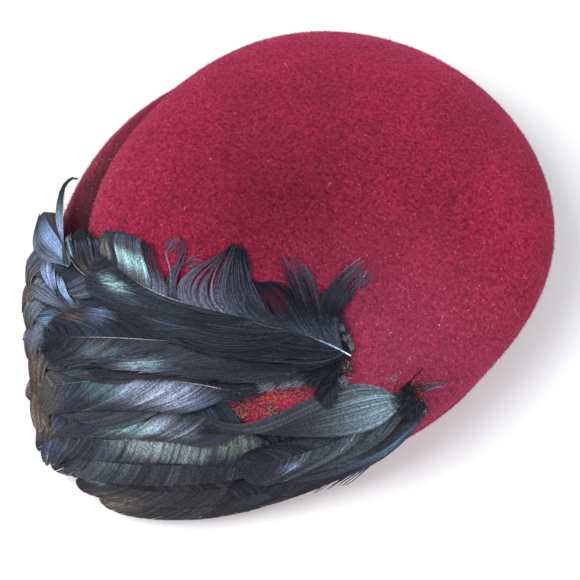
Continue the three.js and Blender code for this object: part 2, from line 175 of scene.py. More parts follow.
FEATHERS = [
    feather("rim_feather_1", [(57, 110), (42, 123), (23, 140), (3, 160)], 10, 7, blunt=4, look=SOOT),
    feather("rim_feather_2", [(50, 106), (33, 122), (15, 141), (-2, 159)], 11, 7, look=SOOT),
    feather("front_feather_1", [(42, 104), (24, 118), (8, 136), (-8, 161)], 10, 9, lean=75, split=0.03),
    feather("front_feather_2", [(34, 112), (20, 114), (6, 127), (-12, 161)], 9, 9, lean=80, split=0.08,
            quill=(0.12, [SLATE, GREEN_GREY, GREEN_GREY, SLATE])),
    feather("front_feather_3", [(26, 104), (11, 107), (-3, 124), (-16, 156)], 9, 13, split=0.08, look=NAVY),
    feather("front_feather_4", [(6, 112), (-6, 124), (-14, 136), (-22, 149)], 11, 13, lean=30),
    feather("front_feather_5", [(21, 90), (6, 97), (-8, 117), (-18, 150)], 7, 13, lean=30, look=NAVY,
            quill=(0.24, [HORN, HORN, LILAC, LILAC, TEAL, SLATE])),
    feather("left_feather_1", [(-2, 104), (-13, 119), (-21, 132), (-27, 146)], 12, 9, filled=0.9),
    feather("left_feather_2", [(-6, 94), (-16, 108), (-25, 127), (-32, 143)], 12, 12),
    feather("fan_feather_1", [(-12, 96), (-21, 108), (-30, 125), (-38, 142)], 11, 11, look=NAVY),
    feather("fan_feather_2", [(-20, 98), (-26, 105), (-34, 122), (-42, 142)], 10, 10, look=NAVY),
    feather("fan_feather_3", [(-25, 97), (-31, 104), (-39, 121), (-48, 142)], 11, 10, look=NAVY),
    feather("fan_feather_4", [(-29, 96), (-36, 104), (-45, 119), (-55, 147)], 6, 12, sides=()),
    feather("fan_feather_5", [(-32, 96), (-39, 105), (-49, 118), (-60, 127)], 3, 3, sides=()),
    feather("fan_feather_6", [(-30, 89), (-34, 95), (-39, 103), (-45, 113)], 7, 6, split=1.2, look=INK),
    side_feather("side_feather_1", [(65, 107), (53, 116), (40, 125), (24, 136)], 8, 7, 0.6, look=SOOT),
    side_feather("side_feather_2", [(69, 102), (59, 110), (46, 118), (30, 127)], 7, 8, 0.6, look=SOOT),
    side_feather("side_feather_3", [(66, 96), (53, 99), (40, 107), (25, 120)], 7, 11),
    side_feather("side_feather_4", [(64, 92), (52, 91), (37, 96), (15, 107)], 7, 9, sides=(),
                 quill=(0.08, [SLATE])),
    down_feather("down_feather_1", [(49, 77), (46, 81), (44, 85), (42, 89)], 4, 4, INK),
    top_feather("top_feather_1", [(44, 79), (24, 79), (4, 92), (-14, 122)], 9, 5, look=INK),
    top_feather("top_feather_2", [(50, 76), (22, 72), (-4, 88), (-26, 139)], 13, 13, look=DUSK,
                quill=(0.28, [INK, INK, SMOKE, SLATE, SLATE, HORN, HORN, SMOKE, INK])),
    down_feather("down_feather_2", [(52, 73), (51, 67), (49, 60), (45, 53)], 3, 3, SMOKE),
    top_feather("top_feather_3", [(52, 71), (28, 61), (-4, 70), (-36, 94)], 9, 16, look=DUSK, edge=INK,
                sides=(1,), quill=(0.32, [QUILL_BLUE, PALE_BLUE, SLATE, INK, INK, INK, INK, SMOKE,
                                          HORN, HORN, SMOKE, INK, INK])),
]
TOP = FEATHERS[-1]["name"]

# Patches of painted sheen and of worn, translucent brown on each feather. Each row is the share of
# its length at the patch's middle, the half length as a share, the middle across the vane from -1
# at the crown's edge to 1 at the brim's, the half breadth, the colour and the strength.
SHEENS = {
    "rim_feather_1": [(0.95, 0.10, -0.3, 1.0, BROWN, 0.9)],
    "rim_feather_2": [(0.84, 0.10, 0.7, 0.3, BROWN, 0.5), (0.93, 0.04, 0.0, 0.15, PALE_TEAL, 0.8)],
    "front_feather_1": [(0.74, 0.12, -0.3, 0.6, GREEN_GREY, 0.3), (0.34, 0.13, 0.2, 1.0, INK, 0.8)],
    "front_feather_2": [
        (0.24, 0.07, 1.1, 0.5, INK, 0.8), (0.20, 0.10, -0.2, 0.5, GREEN_GREY, 0.9),
        (0.50, 0.14, -0.1, 0.7, PALE_GREY, 0.66), (0.38, 0.10, 0.4, 0.6, PALE_GREY, 0.6),
    ],
    "front_feather_3": [
        (0.50, 0.13, 0.5, 0.30, PALE_TEAL, 0.6), (0.36, 0.12, 0.45, 0.3, LILAC, 0.45),
        (0.98, 0.12, 0.2, 1.2, BROWN, 0.7),
    ],
    "front_feather_4": [(0.98, 0.20, 0.2, 1.2, BROWN, 0.9)],
    "front_feather_5": [
        (0.13, 0.10, 0.7, 0.35, BLUE, 0.5), (0.30, 0.10, 0.25, 0.5, SHINE_BLUE, 0.7),
        (0.43, 0.17, 0.2, 0.5, LILAC, 0.9), (0.63, 0.12, 0.2, 0.35, TEAL, 0.45),
        (0.99, 0.12, 0.0, 1.2, TAUPE, 0.9),
    ],
    "left_feather_1": [
        (0.99, 0.13, 0.2, 1.2, PALE_BROWN, 0.8), (0.60, 0.20, -0.5, 0.3, BLUE, 0.35),
        (0.85, 0.08, 0.1, 0.8, FOG, 0.8),
    ],
    "left_feather_2": [
        (0.33, 0.12, 0.5, 0.5, BLUE, 0.75), (0.79, 0.07, -0.2, 0.45, SKY, 1.0),
        (0.97, 0.08, 0.0, 1.0, BROWN, 0.6), (0.80, 0.07, 0.8, 0.4, FOG, 0.7),
    ],
    "fan_feather_1": [
        (0.53, 0.12, -0.2, 0.25, SKY, 0.8), (0.68, 0.10, 0.7, 0.4, SKY, 0.8),
        (0.42, 0.12, 0.9, 0.4, BROWN, 0.6),
    ],
    "fan_feather_2": [
        (0.72, 0.16, 0.4, 0.5, FOG, 0.8), (0.47, 0.10, 0.3, 0.5, FOG, 0.6),
        (0.42, 0.10, 0.8, 0.4, BROWN, 0.5),
    ],
    "fan_feather_3": [(0.28, 0.12, 0.6, 0.5, FOG, 0.6), (0.80, 0.20, 0.3, 0.8, FOG, 0.7)],
    "side_feather_1": [(0.30, 0.20, 0.8, 0.4, BROWN, 0.25), (1.00, 0.14, 0.0, 1.4, INK, 0.9)],
    "side_feather_2": [
        (1.00, 0.14, 0.0, 1.4, INK, 0.9), (0.20, 0.24, 0.5, 0.6, BLUE, 0.4),
        (0.55, 0.10, 0.0, 0.3, PALE_BLUE, 0.3),
    ],
    "side_feather_3": [
        (0.40, 0.30, 0.4, 0.5, FOG, 0.35), (1.00, 0.18, 0.0, 1.4, INK, 0.9),
        (0.76, 0.05, 0.35, 0.12, PALE_BLUE, 0.45),
    ],
    "top_feather_2": [
        (0.60, 0.06, 0.74, 0.28, SLATE_TEAL, 0.9), (0.77, 0.07, 0.4, 0.3, DULL_TEAL, 0.9),
        (0.79, 0.03, -0.75, 0.3, PERIWINKLE, 1.1), (0.25, 0.30, 0.5, 1.2, INK, 0.7),
        (0.87, 0.035, -0.65, 0.25, BROWN, 0.6),
    ],
    "top_feather_3": [
        (0.88, 0.04, 0.31, 0.12, PALE_TEAL, 1.3), (0.80, 0.04, 0.52, 0.07, TEAL, 0.6),
        (0.22, 0.25, 0.5, 1.2, INK, 0.7),
    ],
}


def tress(feather, first, last, strands, barbs, ramp, lift=1.4, ragged=0.1, gather=0.1, proud=0.1,
          turned=0.05):
    """A row of strands that part from a feather. The strands are spread evenly from a first to
    a last path of places, and each is gathered from a number of barbs. ramp is the colours from
    root to tip, lift their height over the felt beyond the feather's blade, ragged how unequal
    they are, gather how closely the barbs come together, proud how far they have risen halfway,
    turned how far a barb's left edge stands above its middle."""
    return dict(locals())


def tresses(feather, paths, rows, **looks):
    """Rows of strands side by side: each has its strands, barbs and ramp, and lies between two
    successive paths."""
    return [tress(feather, *pair, *row, **looks) for *pair, row in zip(paths, paths[1:], rows)]


def fringe(feather, first, last, ramp, lift, strands=9, barbs=16, **looks):
    """The frayed edge of a feather that hangs over the brim, with its outer side to the light."""
    return tress(feather, first, last, strands, barbs, ramp, lift, turned=-0.15, **looks)


TRESSES = [
    # The uppermost feather's locks over the crown, from its root on.
    tress(TOP, [(46, 66), (42, 48), (50, 38), (77, 33)], [(52, 65), (56, 49), (65, 44), (74, 39)], 34, 5,
          [STEEL, INK, NAVY, MAUVE], ragged=0.5, gather=0.2),
    tress(TOP, [(43, 66), (35, 47), (28, 38), (14, 29)], [(47, 66), (42, 47), (36, 36), (20, 30)], 20, 8,
          [STEEL, INK, STEEL, MAUVE], lift=2.6, ragged=0.35, gather=0.3),
    tress(TOP, [(39, 64), (30, 48), (18, 36), (1, 27)], [(44, 65), (36, 49), (29, 40), (15, 31)], 18, 7,
          [STEEL, INK, STEEL, MAUVE], lift=2.0, ragged=0.4, gather=0.3),
    tress(TOP, [(43, 64), (40, 50), (39, 39), (50, 34)], [(42, 64), (39, 50), (39, 40), (48, 36)], 1, 4,
          [SLATE, STEEL, MAUVE], lift=3.0, ragged=0.15, gather=0.85),
    tress(TOP, [(43, 65), (37, 55), (27, 44), (9, 48)], [(36, 65), (24, 59), (15, 52), (5, 47)], 22, 9,
          [STEEL, DUSK, INK, NAVY], lift=1.6, gather=0.35),
    tress(TOP, [(40, 65), (16, 53), (2, 45), (-15, 39)], [(20, 65), (6, 56), (-5, 47), (-15, 40)], 24, 9,
          [SLATE, DUSK, STEEL, INK], lift=2.6, gather=0.35),
    tress(TOP, [(30, 65), (8, 53), (1, 43), (-14, 40)], [(24, 65), (6, 54), (-1, 45), (-15, 40)], 8, 9,
          [SLATE, STEEL, DUSK, INK], lift=2.0, gather=0.4),
    tress(TOP, [(22, 64), (6, 56), (-5, 47), (-15, 40)], [(4, 68), (-3, 61), (-10, 50), (-16, 41)],
          14, 12, [SLATE, STEEL, STEEL, INK], lift=3.2, gather=0.35),
    tress(TOP, [(14, 64), (2, 60), (-7, 52), (-17, 40)], [(-9, 73), (-15, 69), (-17, 59), (-15, 42)],
          8, 18, [MAUVE, MAUVE, STEEL, INK], lift=2.0, gather=0.6),
    tress(TOP, [(-8, 73), (-19, 66), (-26, 60), (-37, 62)], [(-12, 75), (-21, 68), (-27, 63), (-34, 64)],
          3, 12, [SLATE, STEEL, STEEL, INK], ragged=0.2, gather=0.4),
    tress(TOP, [(-10, 73), (-20, 66), (-20, 60), (-30, 57)], [(-12, 74), (-22, 68), (-24, 64), (-26, 60)],
          3, 5, [SLATE, STEEL, MAUVE], ragged=0.4, gather=0.4),
    tress(TOP, [(-12, 74), (-18, 70), (-25, 68), (-31, 67)], [(-13, 74), (-19, 71), (-26, 69), (-32, 69)],
          1, 6, [SLATE, SHINE_BLUE, SHINE_BLUE], ragged=0.15, gather=0.85),
    # The smooth end of its vane, and its hooked tip.
    tress(TOP, [(-13, 75), (-23, 73), (-29, 73), (-33, 72)], [(-22, 83), (-30, 80), (-34, 79), (-36, 77)],
          6, 14, [MAUVE, STEEL, NAVY, INK], gather=0.5),
    tress(TOP, [(-18, 80), (-28, 78), (-34, 77), (-36, 76)], [(-29, 90), (-35, 88), (-39, 88), (-41, 87)],
          6, 24, [SLATE, DULL_TEAL, PALE_TEAL, PALE_TEAL, STEEL, STEEL, INK], lift=2.6, ragged=0.04,
          gather=0.15),
    *tresses(TOP, [
        [(-29, 90), (-35, 88), (-39, 88), (-41, 87)],
        [(-31, 92), (-36, 90), (-40, 90), (-41, 88)],
        [(-34, 95), (-38, 94), (-41, 92), (-41, 90)],
        [(-37, 97), (-40, 97), (-42, 94), (-42, 91)],
    ], [
        (2, 16, [INK, INK, INK, SLATE, INK]),
        (2, 20, [INK, TAUPE, TAUPE, SMOKE, INK]),
        (2, 16, [INK, INK, SMOKE, INK]),
    ], lift=2.6, ragged=0.05),
    tress(TOP, [(-38, 84), (-41, 85), (-44, 85), (-44, 81)], [(-38, 84), (-42, 86), (-45, 85), (-46, 81)],
          1, 6, [INK, SLATE, SLATE], ragged=0.15, gather=0.85),
    # Down at the pad's root, and the ends of the side feathers.
    tress("down_feather_1", [(41, 74), (40, 80), (40, 86)], [(51, 73), (51, 78), (49, 83)], 16, 10,
          [INK, INK, DUSK, SLATE], lift=2.0, ragged=0.7, gather=0.3),
    *tresses("side_feather_4", [
        [(62, 91), (55, 83), (39, 87), (14, 103)],
        [(64, 92), (57, 87), (43, 90), (14, 107)],
        [(64, 93), (58, 98), (41, 101), (14, 114)],
    ], [
        (8, 12, [DULL_TEAL, DULL_TEAL, SLATE, SLATE, INK]),
        (24, 7, [FOG, SLATE_TEAL, DULL_TEAL, SLATE, INK, INK, INK, INK]),
    ], gather=0.05),
    tress("side_feather_4", [(64, 89), (68, 87), (73, 83)], [(65, 91), (69, 88), (73, 84)], 1, 20,
          [INK, INK, SMOKE], lift=3.0, gather=0.8),
    tress("side_feather_4", [(65, 89), (71, 91), (78, 95)], [(65, 93), (71, 94), (78, 97)], 5, 9,
          [INK, STEEL, SHINE_BLUE, STEEL], lift=2.4, ragged=0.35, gather=0.7),
    tress("side_feather_2", [(69, 101), (64, 106), (52, 114), (34, 122)],
          [(68, 103), (62, 111), (52, 119), (32, 128)], 9, 12, [STEEL, BLUE, STEEL, SLATE, INK],
          ragged=0.15, gather=0.2),
    # The curled ends of the fan.
    *tresses("fan_feather_4", [
        [(-38, 115), (-43, 118), (-48, 124), (-54, 129)],
        [(-38, 116), (-44, 121), (-50, 130), (-56, 142)],
        [(-38, 117), (-43, 126), (-48, 137), (-55, 145)],
        [(-38, 117), (-42, 130), (-46, 140), (-51, 144), (-56, 145)],
    ], [
        (6, 14, [SLATE, SLATE_TEAL, SKY, SOOT, SOOT, SOOT, SOOT, SOOT]),
        (8, 14, [SLATE_TEAL, SKY, SKY, PERIWINKLE, PERIWINKLE, BLUE, STEEL, SOOT]),
        (5, 16, [SLATE, BLUE, FOG, STEEL, FOG, STEEL, SMOKE]),
    ], lift=4.5, ragged=0.0, gather=0.0),
    tress("fan_feather_5", [(-40, 120), (-49, 125), (-58, 131), (-63, 130), (-62, 121)],
          [(-38, 116), (-47, 120), (-56, 125), (-62, 127), (-62, 120)], 4, 16,
          [SLATE, STEEL, PERIWINKLE, SHINE_BLUE, INK, INK, SMOKE], lift=4.5, ragged=0.0),
    tress("fan_feather_6", [(-38, 110), (-42, 114), (-46, 116)], [(-37, 109), (-41, 111), (-46, 113)],
          3, 10, [SLATE, SKY, SLATE_TEAL, SMOKE], proud=0.4),
    tress("fan_feather_3", [(-33, 126), (-38, 132), (-41, 135), (-44, 135)],
          [(-33, 126), (-37, 127), (-40, 128), (-43, 128)], 5, 10, [SLATE, PERIWINKLE, PERIWINKLE, SMOKE],
          proud=0.4),
    tress("fan_feather_3", [(-34, 125), (-37, 127), (-40, 127)], [(-34, 124), (-37, 125), (-40, 125)],
          1, 12, [SLATE, PERIWINKLE, SLATE], proud=0.6),
    tress("fan_feather_3", [(-28, 118), (-33, 122), (-38, 124)], [(-28, 116), (-32, 118), (-37, 121)],
          4, 12, [SLATE, SKY, PALE_BLUE, SLATE], proud=0.6),
    tress("fan_feather_2", [(-26, 114), (-30, 122), (-36, 132), (-40, 144)],
          [(-26, 115), (-30, 126), (-35, 138), (-38, 146)], 6, 12, [SLATE, STEEL, FOG, FOG, SMOKE],
          gather=0.2, proud=0.4),
    tress("fan_feather_1", [(-26, 116), (-30, 126), (-35, 137)], [(-25, 117), (-28, 128), (-32, 138)],
          4, 5, [SLATE, SHINE_BLUE, SLATE], gather=0.9, proud=0.5),
    tress("fan_feather_6", [(-31, 96), (-34, 93), (-38, 93), (-41, 95)],
          [(-31, 99), (-33, 105), (-38, 110), (-45, 113)], 9, 16,
          [FOG, BROWN, SMOKE, SLATE, STEEL, SLATE], ragged=0.2, gather=0.3, proud=0.5),
    tress("fan_feather_6", [(-31, 99), (-33, 106), (-38, 111), (-44, 114)],
          [(-31, 100), (-33, 107), (-38, 112), (-44, 114)], 1, 8, [SHINE_BLUE, HORN, BROWN, SLATE],
          ragged=0.15, gather=0.85, proud=0.8),
    # The fringes over the brim's edge.
    fringe("fan_feather_3", [(-49, 138), (-47, 145), (-44, 147), (-40, 147)],
           [(-42, 132), (-41, 138), (-40, 142), (-38, 144)], [STEEL, STEEL, TAUPE, TAUPE], 3.4),
    fringe("fan_feather_2", [(-44, 137), (-42, 144), (-39, 148), (-34, 150)],
           [(-38, 132), (-36, 138), (-35, 142), (-33, 145)], [STEEL, FOG, TAUPE, BROWN, BROWN], 3.4),
    fringe("fan_feather_1", [(-39, 138), (-37, 144), (-33, 147), (-29, 147)],
           [(-33, 133), (-31, 139), (-30, 142), (-28, 144)], [STEEL, FOG, TAUPE, TAUPE], 3.4),
    fringe("left_feather_2", [(-33, 138), (-31, 144), (-28, 148), (-24, 150)],
           [(-28, 134), (-26, 140), (-24, 143), (-22, 146)], [STEEL, FOG, MAUVE, TAUPE, BROWN], 4.0),
    fringe("left_feather_1", [(-28, 140), (-26, 147), (-22, 151), (-18, 155)],
           [(-22, 136), (-20, 142), (-18, 147), (-16, 151)], [STEEL, TAUPE, BROWN, BROWN], 4.0),
    fringe("front_feather_4", [(-23, 141), (-20, 149), (-17, 156), (-12, 161)],
           [(-16, 140), (-14, 147), (-12, 152), (-10, 156)], [STEEL, TAUPE, BROWN, PALE_BROWN], 4.0,
           ragged=0.15),
    fringe("front_feather_3", [(-17, 147), (-15, 156), (-12, 162), (-10, 166)],
           [(-9, 146), (-9, 153), (-9, 158), (-8, 162)], [NAVY, STEEL, TAUPE, TAUPE, BROWN], 3.5,
           strands=10, barbs=14, ragged=0.2, gather=0.2),
    fringe("front_feather_2", [(-13, 151), (-11, 158), (-9, 163), (-7, 168)],
           [(-6, 149), (-5, 155), (-5, 160), (-5, 164)], [SLATE, STEEL, STEEL, TAUPE], 3.0, barbs=14,
           ragged=0.2, gather=0.2),
    # Soft barbs across the top feathers, and stray barbs in front.
    tress(TOP, [(48, 69), (36, 66), (22, 66), (8, 71)], [(50, 71), (42, 75), (30, 77), (16, 80)], 20, 5,
          [INK, DUSK, NAVY, INK], ragged=0.6, gather=0.6, proud=0.15),
    tress(TOP, [(30, 63), (14, 66), (0, 72), (-12, 80)], [(36, 66), (24, 74), (12, 80), (0, 86)], 20, 5,
          [INK, DUSK, SLATE, INK], ragged=0.6, gather=0.6, proud=0.15),
    tress(TOP, [(10, 66), (-6, 73), (-18, 82), (-26, 92)], [(16, 67), (4, 76), (-8, 84), (-18, 94)],
          18, 5, [INK, DUSK, STEEL, INK], ragged=0.6, gather=0.6, proud=0.15),
    tress("side_feather_1", [(55, 121), (52, 128), (48, 135)], [(44, 125), (41, 129), (36, 134)], 9, 6,
          [SOOT, INK, SOOT], lift=0.8, ragged=0.5, gather=0.8),
    tress("front_feather_3", [(-8, 152), (-9, 159), (-11, 164)], [(-6, 153), (-8, 160), (-10, 166)], 3, 7,
          [SMOKE, SMOKE, BROWN], lift=4.0, ragged=0.3, gather=0.85),
    tress("front_feather_1", [(-5, 153), (-6, 160), (-7, 168)], [(-3, 154), (-4, 161), (-6, 167)], 3, 7,
          [SMOKE, INK, INK], lift=4.0, ragged=0.3, gather=0.85),
]


def tuft(spot, toward, spread, fan, length, hairs, ramp, lift=1.0, mixed=False):
    """Loose hairs about a place, heading toward another. spread is how far they are scattered,
    fan how unequal their headings are in degrees, length their mean length, lift the height
    that they reach. The ramp's colours run from root to tip, or are one for each hair where
    they are mixed."""
    return dict(locals())


TUFTS = [
    tuft((49, 63), (44, 54), 5.0, 14, 8, 420, DOWN, 3.4),
    tuft((48, 68), (43, 59), 4.0, 14, 8, 300, DOWN, 4.0),
    tuft((49, 58), (45, 51), 1.0, 16, 3, 70, PALE_DOWN, 3.6),
    tuft((51, 61), (47, 54), 0.8, 16, 3, 70, PALE_DOWN, 4.0),
    tuft((52, 65), (50, 58), 0.8, 16, 3, 70, PALE_DOWN, 4.0),
    tuft((53, 68), (52, 63), 0.8, 16, 3, 60, PALE_DOWN, 4.0),
    tuft((45, 63), (41, 52), 1.6, 8, 7, 50, [(0.26, 0.33, 0.42), NAVY, INK], 5.4),
    tuft((40, 62), (34, 53), 1.6, 8, 7, 40, [SHINE_BLUE, NAVY, INK], 4.0),
    tuft((50, 75), (48, 80), 2.4, 60, 1.2, 320, [RUST[4], *ASH, *ASH, STEEL], 4.5, mixed=True),
    tuft((49, 80), (48, 83), 1.6, 60, 1.6, 160, PALE_DOWN, 4.4),
    tuft((47, 71), (30, 74), 4.0, 22, 14, 300, [INK, NAVY, INK], 6.6),
    tuft((46, 76), (30, 79), 4.0, 22, 12, 300, [INK, INK, NAVY], 6.0),
    tuft((37, 79), (27, 82), 2.6, 20, 5, 150, PALE_DOWN, 4.6),
    tuft((33, 80), (22, 86), 2.6, 20, 5, 170, PALE_DOWN, 4.6),
    tuft((28, 83), (16, 90), 2.6, 20, 5, 110, PALE_DOWN, 4.2),
    tuft((36, 84), (20, 92), 6.0, 30, 1.0, 520, RUST, 0.5, mixed=True),
    tuft((29, 88), (15, 98), 6.0, 30, 1.0, 620, RUST, 0.5, mixed=True),
    tuft((24, 92), (12, 100), 6.0, 30, 1.0, 520, RUST, 0.5, mixed=True),
    tuft((24, 86), (14, 90), 4.0, 14, 8, 320, [INK, SLATE, DUSK], 4.0),
    tuft((20, 90), (12, 94), 4.0, 14, 7, 320, [INK, SLATE, DUSK], 3.4),
    tuft((17, 94), (10, 99), 3.0, 14, 6, 220, [INK, SLATE, DUSK], 2.8),
    tuft((66, 95), (60, 98), 4.0, 50, 6, 320, [INK, NAVY, INK], 5.4),
    tuft((22, 98), (12, 104), 4.0, 50, 1.4, 280, [*RUST, *ASH], 1.2, mixed=True),
    tuft((30, 95), (20, 100), 4.0, 40, 1.4, 260, [*RUST, *ASH], 1.2, mixed=True),
    tuft((65, 95), (58, 98), 3.0, 50, 6, 320, [INK, NAVY, INK], 3.4),
    tuft((67, 97), (60, 101), 4.0, 50, 7, 420, [INK, INK, SMOKE], 3.0),
    tuft((63, 84), (66, 80), 2.0, 50, 2.0, 60, [(0.30, 0.10, 0.16), (0.30, 0.14, 0.20)], 1.0),
    tuft((69, 92), (75, 94), 5.0, 90, 0.9, 340, [*RUST, SMOKE], 0.8, mixed=True),
    tuft((61, 86), (70, 80), 5.0, 90, 0.9, 90, [*RUST, FROST], 0.6, mixed=True),
    tuft((68, 93), (74, 94), 2.6, 90, 0.9, 170, [*RUST[1:], SMOKE, INK, STEEL], 6.4, mixed=True),
    tuft((69, 102), (60, 106), 0.5, 20, 2.0, 16, [(0.7, 0.7, 0.75), BLUE], 3.0),
    tuft((-29, 67), (-32, 62), 2.6, 16, 4, 60, HAZE, 1.4),
    tuft((-20, 61), (-16, 58), 2.6, 16, 4, 40, HAZE, 1.4),
    tuft((66, 42), (76, 38), 4.0, 16, 4, 90, HAZE, 1.4),
]

# --- the felt and its cover


def unit(arrows):
    """Arrows made one long."""
    return arrows / np.maximum(np.linalg.norm(arrows, axis=-1, keepdims=True), 1e-9)


def runs_along(points):
    """How far along a line each of its points lies."""
    return np.cumsum([0, *np.hypot(*np.diff(points, axis=0).T)])


def cubic(a, b, c, d, t):
    """A cubic from b to c, steered by their neighbours a and d."""
    bend = 2 * a - 5 * b + 4 * c - d
    twist = 3 * b - a - 3 * c + d
    return 0.5 * (2 * b + (c - a) * t + bend * t**2 + twist * t**3)


def section_at(directions):
    """The felt's sizes in each direction: one row for each column of SECTIONS."""
    place = (directions + 180) / 360 * len(SECTIONS) % len(SECTIONS)
    index = place.astype(int)
    near = [SECTIONS[(index + k) % len(SECTIONS)] for k in (-1, 0, 1, 2)]
    return cubic(*near, (place - index)[:, None]).T


def dome_at(edge, share):
    """Radius and height on the crown, from its middle at share 0 to its edge at 1."""
    angle = share * math.pi / 2
    rise = np.maximum(np.cos(angle), 0) ** (2 / DOME_POWER)
    radius = edge * np.sin(angle) ** (2 / DOME_POWER)
    return np.stack([radius, CROWN_EDGE + (CROWN_TOP - CROWN_EDGE) * rise + 0 * edge])


def profile_at(directions, dome_rows, span_rows):
    """The outer profile in each direction: points from the middle to the hem, as radius, height."""
    edge, groove, brim, groove_z, roll_z, wide_z = section_at(directions)
    foot, reach, level = edge - groove, groove + brim, 0 * edge
    knots = [
        dome_at(edge, 1 - 1 / DOME_BEND),
        np.stack([edge, level + CROWN_EDGE]),
        np.stack([edge - UNDERCUT_IN * groove, level + CROWN_EDGE - UNDERCUT]),
        np.stack([foot, groove_z]),
        np.stack([foot + SLOPE_OUT * reach, groove_z + SLOPE_UP * (roll_z - groove_z)]),
        np.stack([foot + ROLL_OUT * reach, roll_z]),
        np.stack([edge + brim, wide_z]),
        np.stack([edge + brim - HEM_TURN, level]),
    ]
    knots.append(2 * knots[-1] - knots[-2])
    points = [dome_at(edge, k / dome_rows) for k in range(dome_rows + 1)]
    for span in range(len(knots) - 3):
        points += [cubic(*knots[span:span + 4], k / span_rows) for k in range(1, span_rows + 1)]
    return np.array(points).transpose(2, 0, 1)


def taut_over(points, widest):
    """A taut line over a profile that bridges the groove and runs on past the brim's edge."""
    taut = []
    for point in [*points[:widest + 1], points[widest] * (1, 0) + (OVERHANG, OVERHANG_Z)]:
        while len(taut) > 1:
            before, last = taut[-2:]
            ahead, step = point - before, last - before
            if step[0] * ahead[1] - step[1] * ahead[0] < 0:
                break
            taut.pop()
        taut.append(point)
    return np.array(taut)


COVER_RUNS = np.arange(181.0)
COVER_DOME_ROWS, COVER_SPAN_ROWS = 40, 6
NORMAL_REACH = 3.0  # the run either side over which the cover's slope is taken


def cover_table():
    """Radius and height of the taut cover for each degree of direction and millimetre of run."""
    profiles = profile_at(np.arange(360.0), COVER_DOME_ROWS, COVER_SPAN_ROWS)
    table = np.zeros((360, len(COVER_RUNS), 2))
    for row, points in zip(table, profiles):
        taut = taut_over(points, len(points) - 1 - COVER_SPAN_ROWS)
        run = runs_along(taut)
        row[:, 0] = np.interp(COVER_RUNS, run, taut[:, 0])
        row[:, 1] = np.interp(COVER_RUNS, run, taut[:, 1])
    return table


COVER = cover_table()


def cover_at(direction, run):
    """Radius and height of the cover, blended between its table's places."""
    direction = np.mod(direction, 360)
    run = np.clip(run, 0, COVER_RUNS[-1] - 0.001)
    i, j = direction.astype(int) % 360, run.astype(int)
    u, v = (direction - np.floor(direction))[..., None], (run - j)[..., None]
    near = COVER[i, j] * (1 - v) + COVER[i, j + 1] * v
    far = COVER[(i + 1) % 360, j] * (1 - v) + COVER[(i + 1) % 360, j + 1] * v
    return near * (1 - u) + far * u


def felt_profiles(columns, dome_rows, span_rows):
    """Points of the felt's outer side, by column and row, in millimetres round the crown's axis."""
    directions = np.arange(columns) * 360 / columns
    profiles = profile_at(directions, dome_rows, span_rows)
    turn = np.radians(directions)[:, None]
    radius, height = profiles[..., 0], profiles[..., 1]
    return np.stack([radius * np.sin(turn), -radius * np.cos(turn), height], -1)


COARSE_FELT = (60, 8, 2)  # columns and rows that are enough to measure it


def crown_axis():
    """Where the crown's axis stands in the frame, in millimetres."""
    low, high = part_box("felt_body")
    outside = felt_profiles(*COARSE_FELT).reshape(-1, 3)
    middle = (outside.max(0) + outside.min(0)) / 2
    return np.array([(low[k] + high[k]) / 2 / MM - middle[k] for k in (0, 1)] + [0])


CROWN_AXIS = crown_axis()


def over_hat(plan, lift):
    """Points over the hat in metres, from plans and lifts."""
    direction = np.degrees(np.arctan2(plan[..., 0], -plan[..., 1]))
    run = np.hypot(plan[..., 0], plan[..., 1])
    spot = cover_at(direction, run)
    slope = unit(cover_at(direction, run + NORMAL_REACH) - cover_at(direction, run - NORMAL_REACH))
    radius = spot[..., 0] - slope[..., 1] * lift
    turn = np.radians(direction)
    height = spot[..., 1] + slope[..., 0] * lift
    points = np.stack([radius * np.sin(turn), -radius * np.cos(turn), height], -1)
    return (points + CROWN_AXIS) * MM


def plan_of(places):
    """The plans of places given as direction and run."""
    direction, run = np.asarray(places, float).T
    turn = np.radians(direction)
    return np.stack([run * np.sin(turn), -run * np.cos(turn)], -1)


# --- curves and meshes over the hat


def curve_through(places):
    """A smooth curve through places, as one polynomial for each way on the plan."""
    knots = plan_of(places)
    chord = runs_along(knots)
    return np.polyfit(chord / chord[-1], knots, len(places) - 1)


def on_curve(curve, t):
    """The plans on a curve at t, which is 0 at its start and 1 at its end."""
    return np.stack([np.polyval(curve[:, k], t) for k in (0, 1)], -1)


def leftward(slopes):
    """The ways on the plan to the left of a line, from its slopes."""
    heading = unit(slopes)
    return np.stack([-heading[..., 1], heading[..., 0]], -1)


def bent(start, bend, end, rows):
    """Quadratic curves from start past bend to end, each (n, 2), as paths (n, rows, 2)."""
    t = np.linspace(0, 1, rows)[None, :, None]
    start, bend, end = start[:, None], bend[:, None], end[:, None]
    return start * (1 - t) ** 2 + bend * 2 * t * (1 - t) + end * t**2


def ribbons(paths, lifts, half_widths, turned):
    """Thin strips along paths on the plan, (n, rows, 2), as grids of points two wide. turned is
    how far a strip's left edge stands above its middle."""
    aside = leftward(np.gradient(paths, axis=1)) * half_widths[..., None]
    left = over_hat(paths + aside, lifts + turned)
    right = over_hat(paths - aside, lifts - turned)
    return np.stack([left, right], 2)


QUILL_SIDES = 5


def quills(paths, lifts, radii):
    """Round threads along paths on the plan, as closed grids of points."""
    aside = leftward(np.gradient(paths, axis=1))
    rings = [over_hat(paths + aside * (radii * math.cos(a))[..., None], lifts + radii * math.sin(a))
             for a in np.linspace(0, 2 * math.pi, QUILL_SIDES + 1)]
    return np.stack(rings, 2)


def new_mesh(name, points, faces):
    """A mesh from points in metres and the corners of its faces."""
    mesh = bpy.data.meshes.new(name)
    mesh.from_pydata(points.reshape(-1, 3).tolist(), [], faces.tolist())
    return mesh


